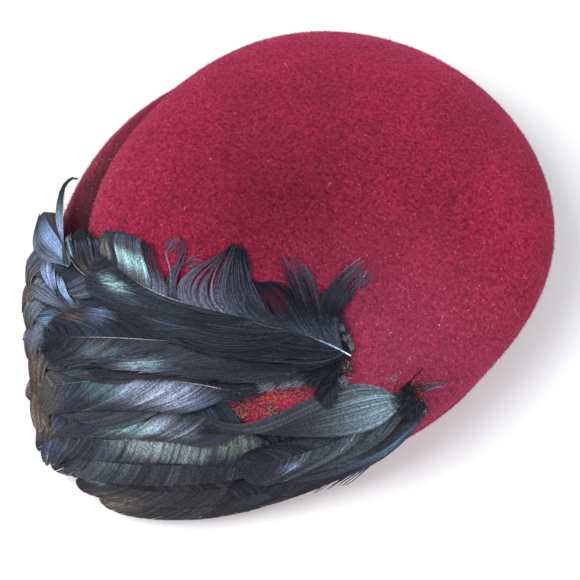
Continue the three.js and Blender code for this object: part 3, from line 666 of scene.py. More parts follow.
def add_values(mesh, name, values):
    """Gives each point of a mesh a number that its material can read."""
    layer = mesh.attributes.new(name, "FLOAT", "POINT")
    layer.data.foreach_set("value", values.astype(np.float32).ravel())


def add_tints(mesh, tints):
    """Gives each point of a mesh a colour that its material can read."""
    layer = mesh.color_attributes.new("tint", "FLOAT_COLOR", "POINT")
    colours = np.concatenate([tints, np.ones((len(tints), 1))], 1)
    layer.data.foreach_set("color", colours.astype(np.float32).ravel())


def placed(name, mesh, material, slot):
    """Links a mesh as a piece of the hat."""
    piece = bpy.data.objects.new(name, mesh)
    bpy.context.scene.collection.objects.link(piece)
    mesh.materials.append(material)
    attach(piece, "root")
    return piece


class Grids:
    """A mesh put together from grids of points, with a colour and a shine for each point."""

    UV_SHIFT = 0.37  # from one strip's place on the streaks to the next one's

    def __init__(self):
        self.points, self.faces, self.tints, self.shines, self.uvs = [], [], [], [], []
        self.count = 0

    def add(self, points, tints, shines):
        """Adds n grids. points is (n, rows, columns, 3); tints and shines are for each row."""
        n, rows, columns, _ = points.shape
        index = self.count + np.arange(n * rows * columns).reshape(n, rows, columns)
        quads = [index[:, :-1, :-1], index[:, :-1, 1:], index[:, 1:, 1:], index[:, 1:, :-1]]
        self.faces.append(np.stack(quads, -1).reshape(-1, 4))
        self.points.append(points.reshape(-1, 3))
        self.tints.append(np.repeat(tints[:, :, None, :], columns, 2).reshape(-1, 3))
        self.shines.append(np.repeat(shines[:, :, None], columns, 2).reshape(-1))
        across = np.broadcast_to(np.linspace(0, 1, columns), (n, rows, columns))
        along = np.broadcast_to(np.linspace(0, 1, rows)[None, :, None], (n, rows, columns))
        shift = np.arange(n)[:, None, None] * self.UV_SHIFT
        self.uvs.append(np.stack([across + shift, along + shift], -1).reshape(-1, 2))
        self.count += n * rows * columns

    def piece(self, name, material, slot):
        """Makes the mesh object, smooth shaded, riding on the hat."""
        faces = np.concatenate(self.faces)
        mesh = new_mesh(name, np.concatenate(self.points), faces)
        add_tints(mesh, np.concatenate(self.tints))
        add_values(mesh, "shine", np.concatenate(self.shines))
        uv = mesh.uv_layers.new(name="UVMap")
        uv.data.foreach_set("uv", np.concatenate(self.uvs)[faces.ravel()].astype(np.float32).ravel())
        mesh.shade_smooth()
        return placed(name, mesh, material, slot)


# --- where a feather lies


class Shaft:
    """The line of a feather's shaft on the plan, by share of its length."""

    SAMPLES = np.linspace(0, 1, 200)

    def __init__(self, places):
        self.curve = curve_through(places)
        self.slope = np.stack([np.polyder(self.curve[:, k]) for k in (0, 1)], -1)
        run = runs_along(on_curve(self.curve, self.SAMPLES))
        self.length = run[-1]
        self.knots = np.interp(self.SAMPLES, run / run[-1], self.SAMPLES)

    def at(self, share):
        """The plans at shares of the length, and the ways out to the brim's side there."""
        t = np.interp(share, self.SAMPLES, self.knots)
        return on_curve(self.curve, t), leftward(on_curve(self.slope, t))


def evened(values, rounds):
    """Each value with the mean of itself and its neighbours, a few times over."""
    for _ in range(rounds):
        padded = np.concatenate([values[:1], values, values[-1:]])
        values = (padded[:-2] + padded[1:-1] + padded[2:]) / 3
    return values


class Rest:
    """How a feather's CAD blade lies on the hat: its height and tilt along the shaft."""

    CEILING, FLOOR = 25.0, -2.0  # lifts between which the blade is looked for
    STATIONS = np.linspace(0.02, 0.98, 30)
    SIDE_SHARE, SIDE_MOST = 0.45, 8  # the tilt is taken at this share of a side, up to this width
    HEIGHT_ROUNDS, TILT_ROUNDS = 3, 6
    UNDER_TOP = 0.35  # how far the barbs lie under the top of the CAD blade

    def __init__(self, row, shaft):
        mesh = frame["nodes"][row["name"]].data
        polygons = [tuple(polygon.vertices) for polygon in mesh.polygons]
        self.tree = BVHTree.FromPolygons([vertex.co for vertex in mesh.vertices], polygons)
        spot, outward = shaft.at(self.STATIONS)
        reach = self.SIDE_SHARE * min(row["inner"], row["outer"], self.SIDE_MOST)
        inner, middle, outer = [self.tops(spot + outward * out) for out in (-reach, 0, reach)]
        self.heights = evened(self.filled(middle), self.HEIGHT_ROUNDS)
        self.tilts = evened(self.filled((outer - inner) / (2 * reach)), self.TILT_ROUNDS)

    def tops(self, plans):
        """Lifts of the blade's upper side at plans, nan where it isn't met."""
        found = []
        high, low = over_hat(plans, self.CEILING), over_hat(plans, self.FLOOR)
        for start, end in zip(high, low):
            ray = Vector(end - start)
            distance = self.tree.ray_cast(Vector(start), ray.normalized(), ray.length)[3]
            met = math.nan if distance is None else distance / ray.length
            found.append(self.CEILING + met * (self.FLOOR - self.CEILING))
        return np.array(found)

    def filled(self, values):
        """Values at all stations, from those that are known."""
        known = ~np.isnan(values)
        return np.interp(self.STATIONS, self.STATIONS[known], values[known])

    def lift(self, share, out):
        """The lift of the vane at shares of the length and distances out to the brim's side."""
        height = np.interp(share, self.STATIONS, self.heights)
        return height + np.interp(share, self.STATIONS, self.tilts) * out - self.UNDER_TOP


# --- how barbs are coloured


def ramped(colours, share):
    """Colours at shares, blended from an even row of them."""
    even = np.linspace(0, 1, len(colours))
    return np.stack([np.interp(share, even, part) for part in np.array(colours).T], -1)


def wandering(count, knots, bounds, rng):
    """Values for a row of barbs that wander between two bounds, through random knots."""
    values = rng.uniform(*bounds, knots)
    return np.interp(np.arange(count), np.linspace(0, count, knots), values)


STREAK_BARBS = 3  # barbs in a narrow streak
BROAD_STREAKS = 14  # broad streaks in a row of barbs
PALE_SHARE, PALE_GAIN = 0.02, 2.2  # how many barbs have a painted glint, and how much brighter they are
# How bright the narrow streaks, the broad ones and the single barbs are.
NARROW, BROAD, SINGLE = (0.4, 1.6), (0.65, 1.4), (0.7, 1.3)


def streaks(count, rng):
    """How bright each barb in a row is: a few barbs together alike, and now and then one with a
    painted glint.
    """
    narrow = wandering(count, count // STREAK_BARBS, NARROW, rng)
    broad = wandering(count, BROAD_STREAKS, BROAD, rng)
    # now and then a barb brightened by a painted glint
    pale = np.where(rng.random(count) < PALE_SHARE, PALE_GAIN, 1)
    return (narrow * broad * pale * rng.uniform(*SINGLE, count))[:, None]


RIM_FROM, RIM_SPAN, RIM_STRENGTH = 0.75, 0.25, 0.7  # where a vane takes its edge's colour
PATCH_FALL = 2.5  # how sharply a patch of sheen ends
PATCH_LEAST = 0.06  # the strength below which it isn't seen
PATCH_EVEN = 0.35  # share of its strength that is the same on dark and bright barbs
CAUGHT = (0.2, 1.3)  # the least and the greatest brightness of a barb that tell on the rest
PATCH_LEVEL = 0.5  # share of its colour that is the same on dark and bright barbs
SPECKLE = (0.4, 1.4)  # how its strength changes along a barb


def barb_tints(row, share, out, rng):
    """Colours and shines of barbs, (n, rows), from their shares and their places across."""
    bright = streaks(len(share), rng)
    look, edge = [np.array(row[key]) * bright[..., None] for key in ("look", "edge")]
    rim = np.clip((np.abs(out) - RIM_FROM) / RIM_SPAN, 0, 1)[..., None] * RIM_STRENGTH
    tint = look * (1 - rim) + edge * rim
    shine = np.zeros(share.shape)
    for middle, half_length, across, half_breadth, colour, strength in SHEENS.get(row["name"], []):
        near = ((share - middle) / half_length) ** 2 + ((out - across) / half_breadth) ** 2
        caught = PATCH_EVEN + (1 - PATCH_EVEN) * np.clip(bright, *CAUGHT)
        speckle = caught * rng.uniform(*SPECKLE, share.shape)
        weight = strength / (1 + near**PATCH_FALL) * speckle
        weight = np.clip(weight - PATCH_LEAST, 0, 1)
        patch = np.array(colour) * (PATCH_LEVEL + (1 - PATCH_LEVEL) * bright)[..., None]
        tint = tint * (1 - weight[..., None]) + patch * weight[..., None]
        shine = np.maximum(shine, weight * min(sum(colour), 1))
    return tint, shine


# --- a feather's vane and shaft

TIP_FROM, TIP_SPAN = 0.78, 0.22  # shares of the length where a vane's tip begins and that it has
CLUMP_WIDTHS = (3, 14)  # the least and the greatest
MOST_CLUMPS = 80
CLUMPS_FROM, LAST_CLUMP, CLUMPS_TO = -0.1, 1.05, 1.2  # shares of the length, past both its ends


def vane_width(share, filled, blunt):
    """The share of its full width that a feather's vane has at a share of its length."""
    grown = np.clip((share - BARE) / filled, 0, 1)
    spent = np.clip((share - TIP_FROM) / TIP_SPAN, 0, 1)
    return np.sqrt(1 - (1 - grown) ** 2) * np.sqrt(1 - spent**blunt)


def clumped(ends, split, length, rng):
    """Moves the ends of barbs together into clumps, which leaves gaps at the vane's edge."""
    edges = np.cumsum(rng.uniform(*CLUMP_WIDTHS, MOST_CLUMPS)) / length
    edges = np.concatenate([[CLUMPS_FROM], edges[edges < LAST_CLUMP], [CLUMPS_TO]])
    gaps = rng.exponential(split, len(edges)) / length
    clump = np.clip(np.searchsorted(edges, ends) - 1, 0, len(edges) - 2)
    low, high = edges[clump], edges[clump + 1]
    where = 2 * (ends - low) / (high - low) - 1
    gap = np.where(where > 0, gaps[clump + 1], gaps[clump])
    return ends - where * np.minimum(gap, high - low) / 2


BARB_STEPS = 6  # lengths in a barb
LAST_BARB = 0.985  # share of the shaft's length at which its last barb starts
ROOT_JITTER = 0.3  # how unequally the barbs start, in pitches
TIP_LEAN = 0.5  # share of their lean that the barbs have lost at the feather's tip
MOST_DRIFT = 0.7  # the most of the way to the feather's tip that a barb may run
CAMBER = 0.25  # how far the vane's edges droop
HALFWAY, BOW_BACK = 0.5, 0.35  # where a straight barb bends, and how much sooner a bowed one
BOW_LEAST, BOW_OUT = 0.1, 0.65  # how far out they bend, as shares of their reach
SWAYS = (0.5, 1.5)  # how often a barb sways on its way
BARB_JITTER = 0.08  # how unequally high the barbs end
HEAVE, HEAVE_BARBS = 0.9, 9  # how far neighbours rise together at a wave of 1, and how many
BARB_REACH, BARB_TAPER = 0.95, 0.45  # half a barb's width and its loss to its tip, in pitches
BARB_TURN = 0.07  # how far a barb's edge to the feather's root stands above its middle


def add_vane(grids, row, shaft, rest, side, rng):
    """The barbs on one side of a shaft. side is -1 towards the crown and 1 towards the brim."""
    width = row["inner"] if side < 0 else row["outer"]
    count = int(shaft.length / PITCH)
    places = (np.arange(count) + rng.uniform(-ROOT_JITTER, ROOT_JITTER, count)) / count
    roots = BARE + (LAST_BARB - BARE) * places
    drift = width / np.tan(np.radians(row["lean"] * (1 - TIP_LEAN * roots**2))) / shaft.length
    ends = roots + np.minimum(drift, MOST_DRIFT * (1 - roots))
    reach = width * vane_width(ends, row["filled"], row["blunt"])
    reach = reach * (1 - row["fray"] * rng.random(count) ** 2)
    ends = np.clip(clumped(ends, row["split"], shaft.length, rng), 0, 1)
    start = shaft.at(roots)[0]
    spot, outward = shaft.at(ends)
    away = side * outward * reach[:, None]
    tip = spot + away
    bow = row["bow"]
    bend = start + (tip - start) * (HALFWAY - BOW_BACK * bow) + away * (BOW_LEAST + BOW_OUT * bow)
    t = np.linspace(0, 1, BARB_STEPS + 1)[None, :]
    turns = t * rng.uniform(*SWAYS, (count, 1)) + rng.random((count, 1))
    sway = row["wave"] * np.sin(2 * math.pi * turns)
    paths = bent(start, bend, tip, BARB_STEPS + 1) + outward[:, None] * (sway * t)[..., None]
    share = roots[:, None] + (ends - roots)[:, None] * t
    out = side * reach[:, None] * t
    lifts = rest.lift(share, out) - CAMBER * (out / width) ** 2
    heave = wandering(count, count // HEAVE_BARBS, (-1, 1), rng)[:, None]
    lifts += (rng.uniform(-BARB_JITTER, BARB_JITTER, (count, 1)) + row["wave"] * HEAVE * heave) * t
    tints, shines = barb_tints(row, share, out / width, rng)
    half_widths = PITCH * (BARB_REACH - BARB_TAPER * t) * np.ones((count, 1))
    grids.add(ribbons(paths, lifts, half_widths, BARB_TURN * side), tints, shines)


SHAFT_ROWS = 40
SHAFT_END = 0.97  # share of the feather's length that the shaft has
SHAFT_TAPER = 0.8  # share of its radius that it loses
SHAFT_RISE = 0.12  # how far it stands above the barbs
SHAFT_SHINE = 0.3


def add_shaft(grids, row, shaft, rest):
    """A feather's tapering shaft, its colours spread evenly from its root to its tip."""
    radius, colours = row["quill"]
    share = np.linspace(0, SHAFT_END, SHAFT_ROWS)
    lifts = rest.lift(share, 0) + SHAFT_RISE
    radii = radius * (1 - SHAFT_TAPER * share)
    points = quills(shaft.at(share)[0][None], lifts[None], radii[None])
    grids.add(points, ramped(colours, share)[None], np.full((1, SHAFT_ROWS), SHAFT_SHINE))


# --- strands and loose hairs

STRAND_STEPS = 14
STRAND_REACH, STRAND_TAPER = 0.12, 0.6  # half a barb's width, and the share lost to its tip
CLOSED = 0.25  # strands gathered less than this close up into a vane
CLOSED_OVERLAP = 1.8  # half a barb's width there, in distances from one barb to the next
CLOSED_LIFT, STRAND_LIFTS = 0.9, (0.5, 1.2)  # shares of a row's lift that its strands reach
ROOT_PLACES = (0.2, 0.8)  # where a barb starts within its own share of the row
STRAND_WANDER = 0.3  # how far a strand leaves its even place, in strands
BARB_RAGGED = 0.5  # how unequal the barbs of a strand are, as a share of the row's ragged
GATHERED_BY = 0.6  # share of a strand's length at which its barbs have come together
CURL, CURL_FROM = 12, 0.7  # how strongly the strands' tips curl, and from what share on
SWAY, SWAY_TURNS = 0.5, 1.3  # how far strands sway, and how often on their way
STRAY, STRAY_CLOSED = 0.2, 0.3  # how far barbs leave their strand, and the share if closed up
STATIONS = np.linspace(0, 1, 301)  # where on the shaft the place nearest to a barb is looked for
SETTLING = 8  # distance beyond the vane at which a strand lies on the felt
STRAND_JITTER = 0.15  # how unequally high the barbs lie
ROOT_PULL = 4  # how quickly the uppermost feather's barbs leave its shaft
STRAND_SHINE = 0.6  # share of its tint that a strand shines with, and the most


def add_tress(grids, row, blade, shaft, rest, rng):
    """A row of strands, each gathered from a few barbs that leave the shaft side by side. They
    lie on the feather's blade as far as it reaches, then on the felt."""
    strands, count = row["strands"], row["strands"] * row["barbs"]
    strand = np.repeat(np.arange(strands), row["barbs"])

    def shared(low, high):
        """A random value for each strand, as a column of one for each of its barbs."""
        return rng.uniform(low, high, strands)[strand][:, None]

    root = (np.arange(count) + rng.uniform(*ROOT_PLACES, count))[:, None] / count
    middle = (strand[:, None] + 0.5 + STRAND_WANDER * shared(-1, 1)) / strands
    end = 1 - row["ragged"] * shared(0, 1)
    end = end * (1 - BARB_RAGGED * row["ragged"] * rng.random((count, 1)) ** 2)
    t = end * np.linspace(0, 1, STRAND_STEPS + 1)
    drawn = np.clip(t / GATHERED_BY, 0, 1)
    drawn = drawn**2 * (3 - 2 * drawn) * row["gather"]
    blend = (root + (middle - root) * drawn)[..., None]
    first, last = [on_curve(curve_through(row[key]), t) for key in ("first", "last")]
    paths = first * (1 - blend) + last * blend
    aside = leftward(np.gradient(paths, axis=1))
    curl = shared(-1, 1) * np.clip(t - CURL_FROM, 0, 1) ** 2 * CURL
    sway = SWAY * np.sin(2 * math.pi * (SWAY_TURNS * t + shared(0, 1))) * t
    loose = min(row["gather"] / CLOSED, 1)
    stray = rng.uniform(-STRAY, STRAY, (count, 1)) * t
    swerve = (curl + sway + (1 - STRAY_CLOSED) * stray) * loose + STRAY_CLOSED * stray
    paths = paths + aside * swerve[..., None]
    spots, outward = shaft.at(STATIONS)
    nearest = np.linalg.norm(paths[:, :, None] - spots, axis=-1).argmin(2)
    if row["feather"] == TOP:  # its barbs start on the shaft itself
        paths += (spots[nearest[:, :1]] - paths[:, :1]) * (1 - t[..., None]) ** ROOT_PULL
    away = paths - spots[nearest]
    out = np.clip((away * outward[nearest]).sum(-1), -blade["inner"], blade["outer"])
    beyond = np.clip(np.linalg.norm(away, axis=-1) - np.abs(out), 0, SETTLING) / SETTLING
    height = row["lift"] * np.where(row["gather"] < CLOSED, CLOSED_LIFT, shared(*STRAND_LIFTS))
    lifts = rest.lift(STATIONS[nearest], out) * (1 - beyond) + height * beyond
    lifts += rng.uniform(-STRAND_JITTER, STRAND_JITTER, (count, 1)) + 2 * row["proud"] * t
    tints = ramped(row["ramp"], t) * streaks(count, rng)[..., None]
    half_widths = STRAND_REACH * (1 - STRAND_TAPER * t / end)
    if row["gather"] < CLOSED:
        spacing = np.linalg.norm(last - first, axis=-1) / count
        half_widths = np.maximum(half_widths, CLOSED_OVERLAP * spacing)
    shines = np.clip(tints.sum(-1) * STRAND_SHINE, 0, STRAND_SHINE)
    grids.add(ribbons(paths, lifts, half_widths, row["turned"]), tints, shines)


HAIR_STEPS = 5
HAIR_REACH, HAIR_TAPER = 0.09, 0.5  # half a loose hair's width, and the share lost to its tip
HAIR_BEND = 0.35  # how unequally the hairs turn at their middle, in radians
HAIR_ARCH = 2.4  # the stretch of a sine, in radians, that they rise and fall along
HAIR_TURN = 0.04  # how far a hair's left edge stands above its middle
# How unequal the hairs' lengths, lifts and brightness are.
HAIR_LENGTHS, HAIR_LIFTS, HAIR_BRIGHTS = (0.5, 1.3), (0.6, 1), (0.5, 1.4)


def headed(turns):
    """The ways on the plan at turns, in radians."""
    return np.stack([np.cos(turns), np.sin(turns)], -1)


def add_tuft(grids, row, rng):
    """Loose hairs scattered about a place."""
    count = row["hairs"]
    start, toward = plan_of([row["spot"], row["toward"]])
    turn = math.atan2(*(toward - start)[::-1]) + np.radians(rng.normal(0, row["fan"], count))
    bend = turn + rng.normal(0, HAIR_BEND, count)
    half = 0.5 * (row["length"] * rng.uniform(*HAIR_LENGTHS, count))[:, None]
    spots = start + rng.normal(0, 0.5 * row["spread"], (count, 2))
    middle = spots + half * headed(turn)
    tips = middle + half * headed(bend)
    t = np.linspace(0, 1, HAIR_STEPS + 1)[None, :]
    arch = 0.5 + 0.5 * np.sin(t * HAIR_ARCH)
    lifts = row["lift"] * rng.uniform(*HAIR_LIFTS, (count, 1)) * arch
    if row["mixed"]:
        picked = rng.integers(len(row["ramp"]), size=count)
        tints = np.array(row["ramp"])[picked][:, None] * np.ones((1, t.size, 1))
    else:
        tints = ramped(row["ramp"], np.repeat(t, count, 0))
    tints = tints * rng.uniform(*HAIR_BRIGHTS, (count, 1, 1))
    half_widths = HAIR_REACH * (1 - HAIR_TAPER * t) * np.ones((count, 1))
    paths = bent(spots, middle, tips, HAIR_STEPS + 1)
    grids.add(ribbons(paths, lifts, half_widths, HAIR_TURN), tints, 0 * lifts)


# --- materials


class Shading:
    """A new material with a principled shader, and short ways to put nodes before it."""

    def __init__(self, name, roughness, **sockets):
        self.material = bpy.data.materials.new(name)
        self.material.use_nodes = True
        self.tree = self.material.node_tree
        self.sockets = self.tree.nodes["Principled BSDF"].inputs
        self.sockets["Roughness"].default_value = roughness
        for socket, value in sockets.items():
            self.sockets[socket.replace("_", " ")].default_value = value

    def node(self, kind, output, inputs=(), **settings):
        """The output of a new node with these settings, its inputs linked or given values."""
        made = self.tree.nodes.new("ShaderNode" + kind)
        for key, value in settings.items():
            setattr(made, key, value)
        for key, value in dict(inputs).items():
            if isinstance(value, bpy.types.NodeSocket):
                self.tree.links.new(value, made.inputs[key])
            else:
                made.inputs[key].default_value = value
        return made.outputs[output]

    def place(self, kind):
        """Where a point lies: Object is in metres in the frame, UV on its own strip."""
        return self.node("TexCoord", kind)

    def painted(self, name, output):
        """What the points of the mesh were given under a name."""
        return self.node("Attribute", output, attribute_name=name)

    def noise(self, place, scale, detail, roughness=0.5):
        """A cloudy number from 0 to 1 at each place."""
        inputs = {"Vector": place, "Scale": scale, "Detail": detail, "Roughness": roughness}
        return self.node("TexNoise", "Fac", inputs)

    def ranged(self, value, low, high, start=0.0, end=1.0):
        """A number's range from start to end, made one from low to high."""
        inputs = {"Value": value, "To Min": low, "To Max": high, "From Min": start, "From Max": end}
        return self.node("MapRange", 0, inputs)

    def away(self, place, spot):
        """The distance from a spot."""
        return self.node("VectorMath", "Value", {0: place, 1: spot}, operation="DISTANCE")

    def mixed(self, first, second, factor, blend="MIX"):
        """Two colours mixed by a factor."""
        inputs = {0: factor, 6: first, 7: second}
        return self.node("Mix", 2, inputs, data_type="RGBA", blend_type=blend)

    def times(self, colour, factor):
        """A colour made brighter or darker, or times another."""
        return self.mixed(colour, factor, 1.0, "MULTIPLY")

    def bumped(self, height, strength, distance):
        """The directions of a surface that looks uneven."""
        inputs = {"Height": height, "Strength": strength, "Distance": distance}
        return self.node("Bump", 0, inputs)

    def shaded(self, **inputs):
        """The material, with its shader's inputs linked."""
        for socket, value in inputs.items():
            self.tree.links.new(value, self.sockets[socket.replace("_", " ")])
        return self.material


def feather_material():
    """Barbs: the painted tint with fine streaks along them, glossier where they shine."""
    barbs = Shading("feather_barbs", 0.5, Specular_IOR_Level=0.22)
    streak = barbs.noise(barbs.place("UV"), scale=7.0, detail=4.0)
    dust = barbs.noise(barbs.place("Object"), scale=1300.0, detail=2.0, roughness=0.6)
    shine = barbs.painted("shine", "Fac")
    colour = barbs.times(barbs.painted("tint", "Color"), barbs.ranged(streak, 0.55, 1.45))
    colour = barbs.times(colour, barbs.ranged(dust, 0.55, 1.55, start=0.35, end=0.65))
    return barbs.shaded(
        Base_Color=colour,
        Roughness=barbs.ranged(shine, 0.6, 0.4),
        Metallic=barbs.ranged(shine, 0.0, 0.45),
        Normal=barbs.bumped(streak, strength=0.3, distance=0.0002),
    )


FELT_DEEP = (0.138, 0.002, 0.012, 1)
FELT_BRIGHT = (0.375, 0.024, 0.071, 1)
# the pale, whitish colour of the painted sheen
FELT_DUSTY = (0.300, 0.050, 0.110, 1)
# the painted shade in the groove under the crown's edge and beside the feathers, a dark brown
FELT_SOILED = (0.008, 0.032, 0.032, 1)
NAP_SHEEN = dict(Sheen_Weight=0.55, Sheen_Roughness=0.5, Sheen_Tint=(0.95, 0.14, 0.32, 1))
DUSTY_SPOT = (0.078, -0.012, 0.048)  # where the felt has a paler, whitish painted sheen
# Painted light and shade on the felt: painted shade over the crown's middle and its back, painted
# light at its left and right. Each row is a place, the distance at which the change ends and
# how bright the felt is at the place itself.
BRUSHED = [
    ((-0.008, 0.004, 0.062), 0.09, 0.50),
    ((-0.060, -0.010, 0.050), 0.07, 1.20),
    ((0.087, 0.054, 0.040), 0.06, 1.12),
    ((0.026, 0.094, 0.045), 0.06, 0.90),
]


def felt_colours(felt, place):
    """The felt's crimson, mottled where the nap lies this way and that, with painted light and shade
    over the crown, a paler painted sheen about one spot and painted shade in the groove.
    """
    pile = felt.noise(place, scale=700.0, detail=3.0, roughness=0.6)
    pile = felt.ranged(pile, 0.0, 1.0, start=0.3, end=0.7)
    lay = felt.noise(place, scale=30.0, detail=6.0, roughness=0.62)
    lay = felt.ranged(lay, 0.78, 1.18, start=0.3, end=0.7)
    # a painted sheen that fades out from its spot
    dusty = felt.ranged(felt.away(place, DUSTY_SPOT), 0.4, 0.0, start=0.01, end=0.075)
    colour = felt.mixed(FELT_DEEP, FELT_BRIGHT, pile)
    colour = felt.times(felt.mixed(colour, FELT_DUSTY, dusty), lay)
    # painted light and shade about the listed places
    for spot, reach, bright in BRUSHED:
        colour = felt.times(colour, felt.ranged(felt.away(place, spot), bright, 1.0, end=reach))
    # painted shade in the groove over all the rest
    return felt.mixed(colour, FELT_SOILED, felt.painted("soil", "Fac"))


def felt_material():
    """Velour felt under its nap, with a pale bloom at a flat angle."""
    felt = Shading("velour_felt", 0.95, Specular_IOR_Level=0.1, **NAP_SHEEN)
    place = felt.place("Object")
    nap = felt.noise(place, scale=900.0, detail=3.0, roughness=0.7)
    level = felt.ranged(nap, 0.75, 1.2, start=0.3, end=0.7)
    colour = felt.times(felt_colours(felt, place), level)
    return felt.shaded(Base_Color=colour, Normal=felt.bumped(nap, strength=0.6, distance=0.0005))


def nap_material():
    """The nap's fibres: the felt's colour with its painted light, sheen and shade, times each fibre's tint.
    """
    nap = Shading("velour_nap", 0.9, Specular_IOR_Level=0.1, **NAP_SHEEN)
    colour = felt_colours(nap, nap.place("Object"))
    return nap.shaded(Base_Color=nap.times(colour, nap.painted("tint", "Color")))


# --- the felt and its nap

FELT_COLUMNS, DOME_ROWS, SPAN_ROWS = 240, 48, 7
FOOT_ROW = DOME_ROWS + 2.0 * SPAN_ROWS  # the row of the profiles at the groove's foot
WIDEST_ROW = DOME_ROWS + 5 * SPAN_ROWS
SOIL_ROWS = 2.4 * SPAN_ROWS  # how far from the foot the painted shade reaches
SOIL_DIRECTION, SOIL_TURN = -55, 32  # the middle of the feathers, and how far to either side
# share of the painted shade that the groove keeps all round the hat, away from the feathers
SOIL_ALL_ROUND = 0.35


def soiled(row, column):
    """How much painted shade the felt has at a row and column of its profiles: most in the groove's
    foot under the crown's edge, and beside the feathers."""
    direction = column * 360 / FELT_COLUMNS - 360
    beside = np.exp(-(((direction - SOIL_DIRECTION) / SOIL_TURN) ** 2))
    beside = SOIL_ALL_ROUND + (1 - SOIL_ALL_ROUND) * beside
    return beside * np.exp(-(((row - FOOT_ROW) / SOIL_ROWS) ** 2))


def felt_mesh():
    """The felt as a closed wall: outer side, hem and inner side."""
    outer = felt_profiles(FELT_COLUMNS, DOME_ROWS, SPAN_ROWS)
    turn = np.arange(FELT_COLUMNS) * 2 * math.pi / FELT_COLUMNS
    around = np.stack([np.cos(turn), np.sin(turn), 0 * turn], -1)[:, None]
    inward = np.cross(around, unit(np.gradient(outer, axis=1)))
    inner = outer + inward * FELT_WALL
    inner[:, 0] = outer[:, 0] - (0, 0, FELT_WALL)
    inner[:, -1] = outer[:, -1] + unit(inward[:, -1] * (1, 1, 0)) * FELT_WALL
    rings = np.concatenate([outer, inner[:, ::-1]], 1)
    index = np.arange(rings[..., 0].size).reshape(rings.shape[:2])
    after = np.roll(index, -1, 0)
    faces = np.stack([index[:, :-1], index[:, 1:], after[:, 1:], after[:, :-1]], -1).reshape(-1, 4)
    mesh = new_mesh("felt_body_soft", (rings + CROWN_AXIS) * MM, faces)
    row, column = np.arange(rings.shape[1]), np.arange(FELT_COLUMNS)[:, None]
    # painted shade in the groove, on the outer side only
    add_values(mesh, "soil", np.where(row < outer.shape[1], soiled(row, column), 0))
    work = bmesh.new()
    work.from_mesh(mesh)
    bmesh.ops.remove_doubles(work, verts=work.verts, dist=1e-6)
    bmesh.ops.recalc_face_normals(work, faces=work.faces)
    work.to_mesh(mesh)
    work.free()
    mesh.shade_smooth()
    return mesh


NAP_FIBRES = 170_000
NAP_LENGTH, NAP_LENGTHS = 1.4, (0.5, 1.3)  # its mean, and how unequal it is
NAP_REACH = 0.07  # half the width of a fibre at its root
NAP_LAY, NAP_UNEVEN = (0.35, -0.8, -0.2), 0.7  # the way the nap is brushed, and how unequally
NAP_RISE, NAP_RISE_UNEVEN = 32, 14  # degrees that a fibre stands up off the felt
COARSE_SHARE, COARSE_MORE = 0.1, 0.8  # how many fibres are coarse, and how much wider they are
COARSE_TINT = (1.5, 4.0, 2.7)  # what their colour is multiplied with
TINT_POWERS = (1, 2.4, 2)  # how much red, green and blue change as fibres get brighter
TINT_UNEVEN = 0.3
ROOT_TINT, TIP_TINT = 0.8, 1.3


def nap_mesh(rng):
    """Short fibres over the felt's outer side down to its widest line, a triangle each."""
    felt = felt_profiles(FELT_COLUMNS, DOME_ROWS, SPAN_ROWS)[:, :WIDEST_ROW + 1]
    after = np.roll(felt, -1, 0)
    corners = [felt[:, :-1], after[:, :-1], felt[:, 1:], after[:, 1:]]
    corners = [corner.reshape(-1, 3) for corner in corners]
    down, side = corners[2] - corners[0], corners[3] - corners[2]
    area = np.linalg.norm(np.cross(down, side), axis=-1)
    picked = rng.choice(len(area), NAP_FIBRES, p=area / area.sum())
    u, v = rng.random((2, NAP_FIBRES, 1))
    a, b, c, d = [corner[picked] for corner in corners]
    roots = (a * (1 - u) + b * u) * (1 - v) + (c * (1 - u) + d * u) * v
    up = unit(np.cross(down[picked], side[picked]))
    lay = rng.normal(NAP_LAY, NAP_UNEVEN, (NAP_FIBRES, 3))
    lay = unit(lay - up * (lay * up).sum(-1, keepdims=True))
    rise = np.radians(rng.normal(NAP_RISE, NAP_RISE_UNEVEN, (NAP_FIBRES, 1)))
    length = NAP_LENGTH * rng.uniform(*NAP_LENGTHS, (NAP_FIBRES, 1))
    tips = roots + (lay * np.cos(rise) + up * np.sin(rise)) * length
    coarse = rng.random((NAP_FIBRES, 1)) < COARSE_SHARE
    aside = np.cross(up, lay) * NAP_REACH * (1 + COARSE_MORE * coarse)
    points = np.stack([roots - aside, roots + aside, tips], 1)
    faces = np.arange(3 * NAP_FIBRES).reshape(-1, 3)
    mesh = new_mesh("felt_nap", (points + CROWN_AXIS) * MM, faces)
    column, row = np.divmod(picked, WIDEST_ROW)
    # each fibre takes the painted shade of the felt under it
    add_values(mesh, "soil", np.repeat(soiled(row + v[:, 0], column), 3))
    bright = np.exp(rng.normal(0, TINT_UNEVEN, (NAP_FIBRES, 1)))
    tints = bright**TINT_POWERS * np.where(coarse, COARSE_TINT, 1)
    tints = tints[:, None] * np.array([ROOT_TINT, ROOT_TINT, TIP_TINT])[:, None]
    add_tints(mesh, tints.reshape(-1, 3))
    return mesh


# --- the pieces

SLOTS = {part["node"]: part["material_slot"] for part in frame["record"]["subparts"]}
NAP_SEED, LOOSE_SEED = 200, 100  # a feather's seed is its place in FEATHERS


def feather_piece(row, rng, material):
    """A feather's strands, the barbs of its vane and its shaft, in place of its CAD blade."""
    name = row["name"]
    shaft = Shaft(row["shaft"])
    rest = Rest(row, shaft)
    grids = Grids()
    for strands in TRESSES:
        if strands["feather"] == name:
            add_tress(grids, strands, row, shaft, rest, rng)
    for side in row["sides"]:
        add_vane(grids, row, shaft, rest, side, rng)
    add_shaft(grids, row, shaft, rest)
    piece = grids.piece(name + "_barbs", material, SLOTS[name])
    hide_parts(name)


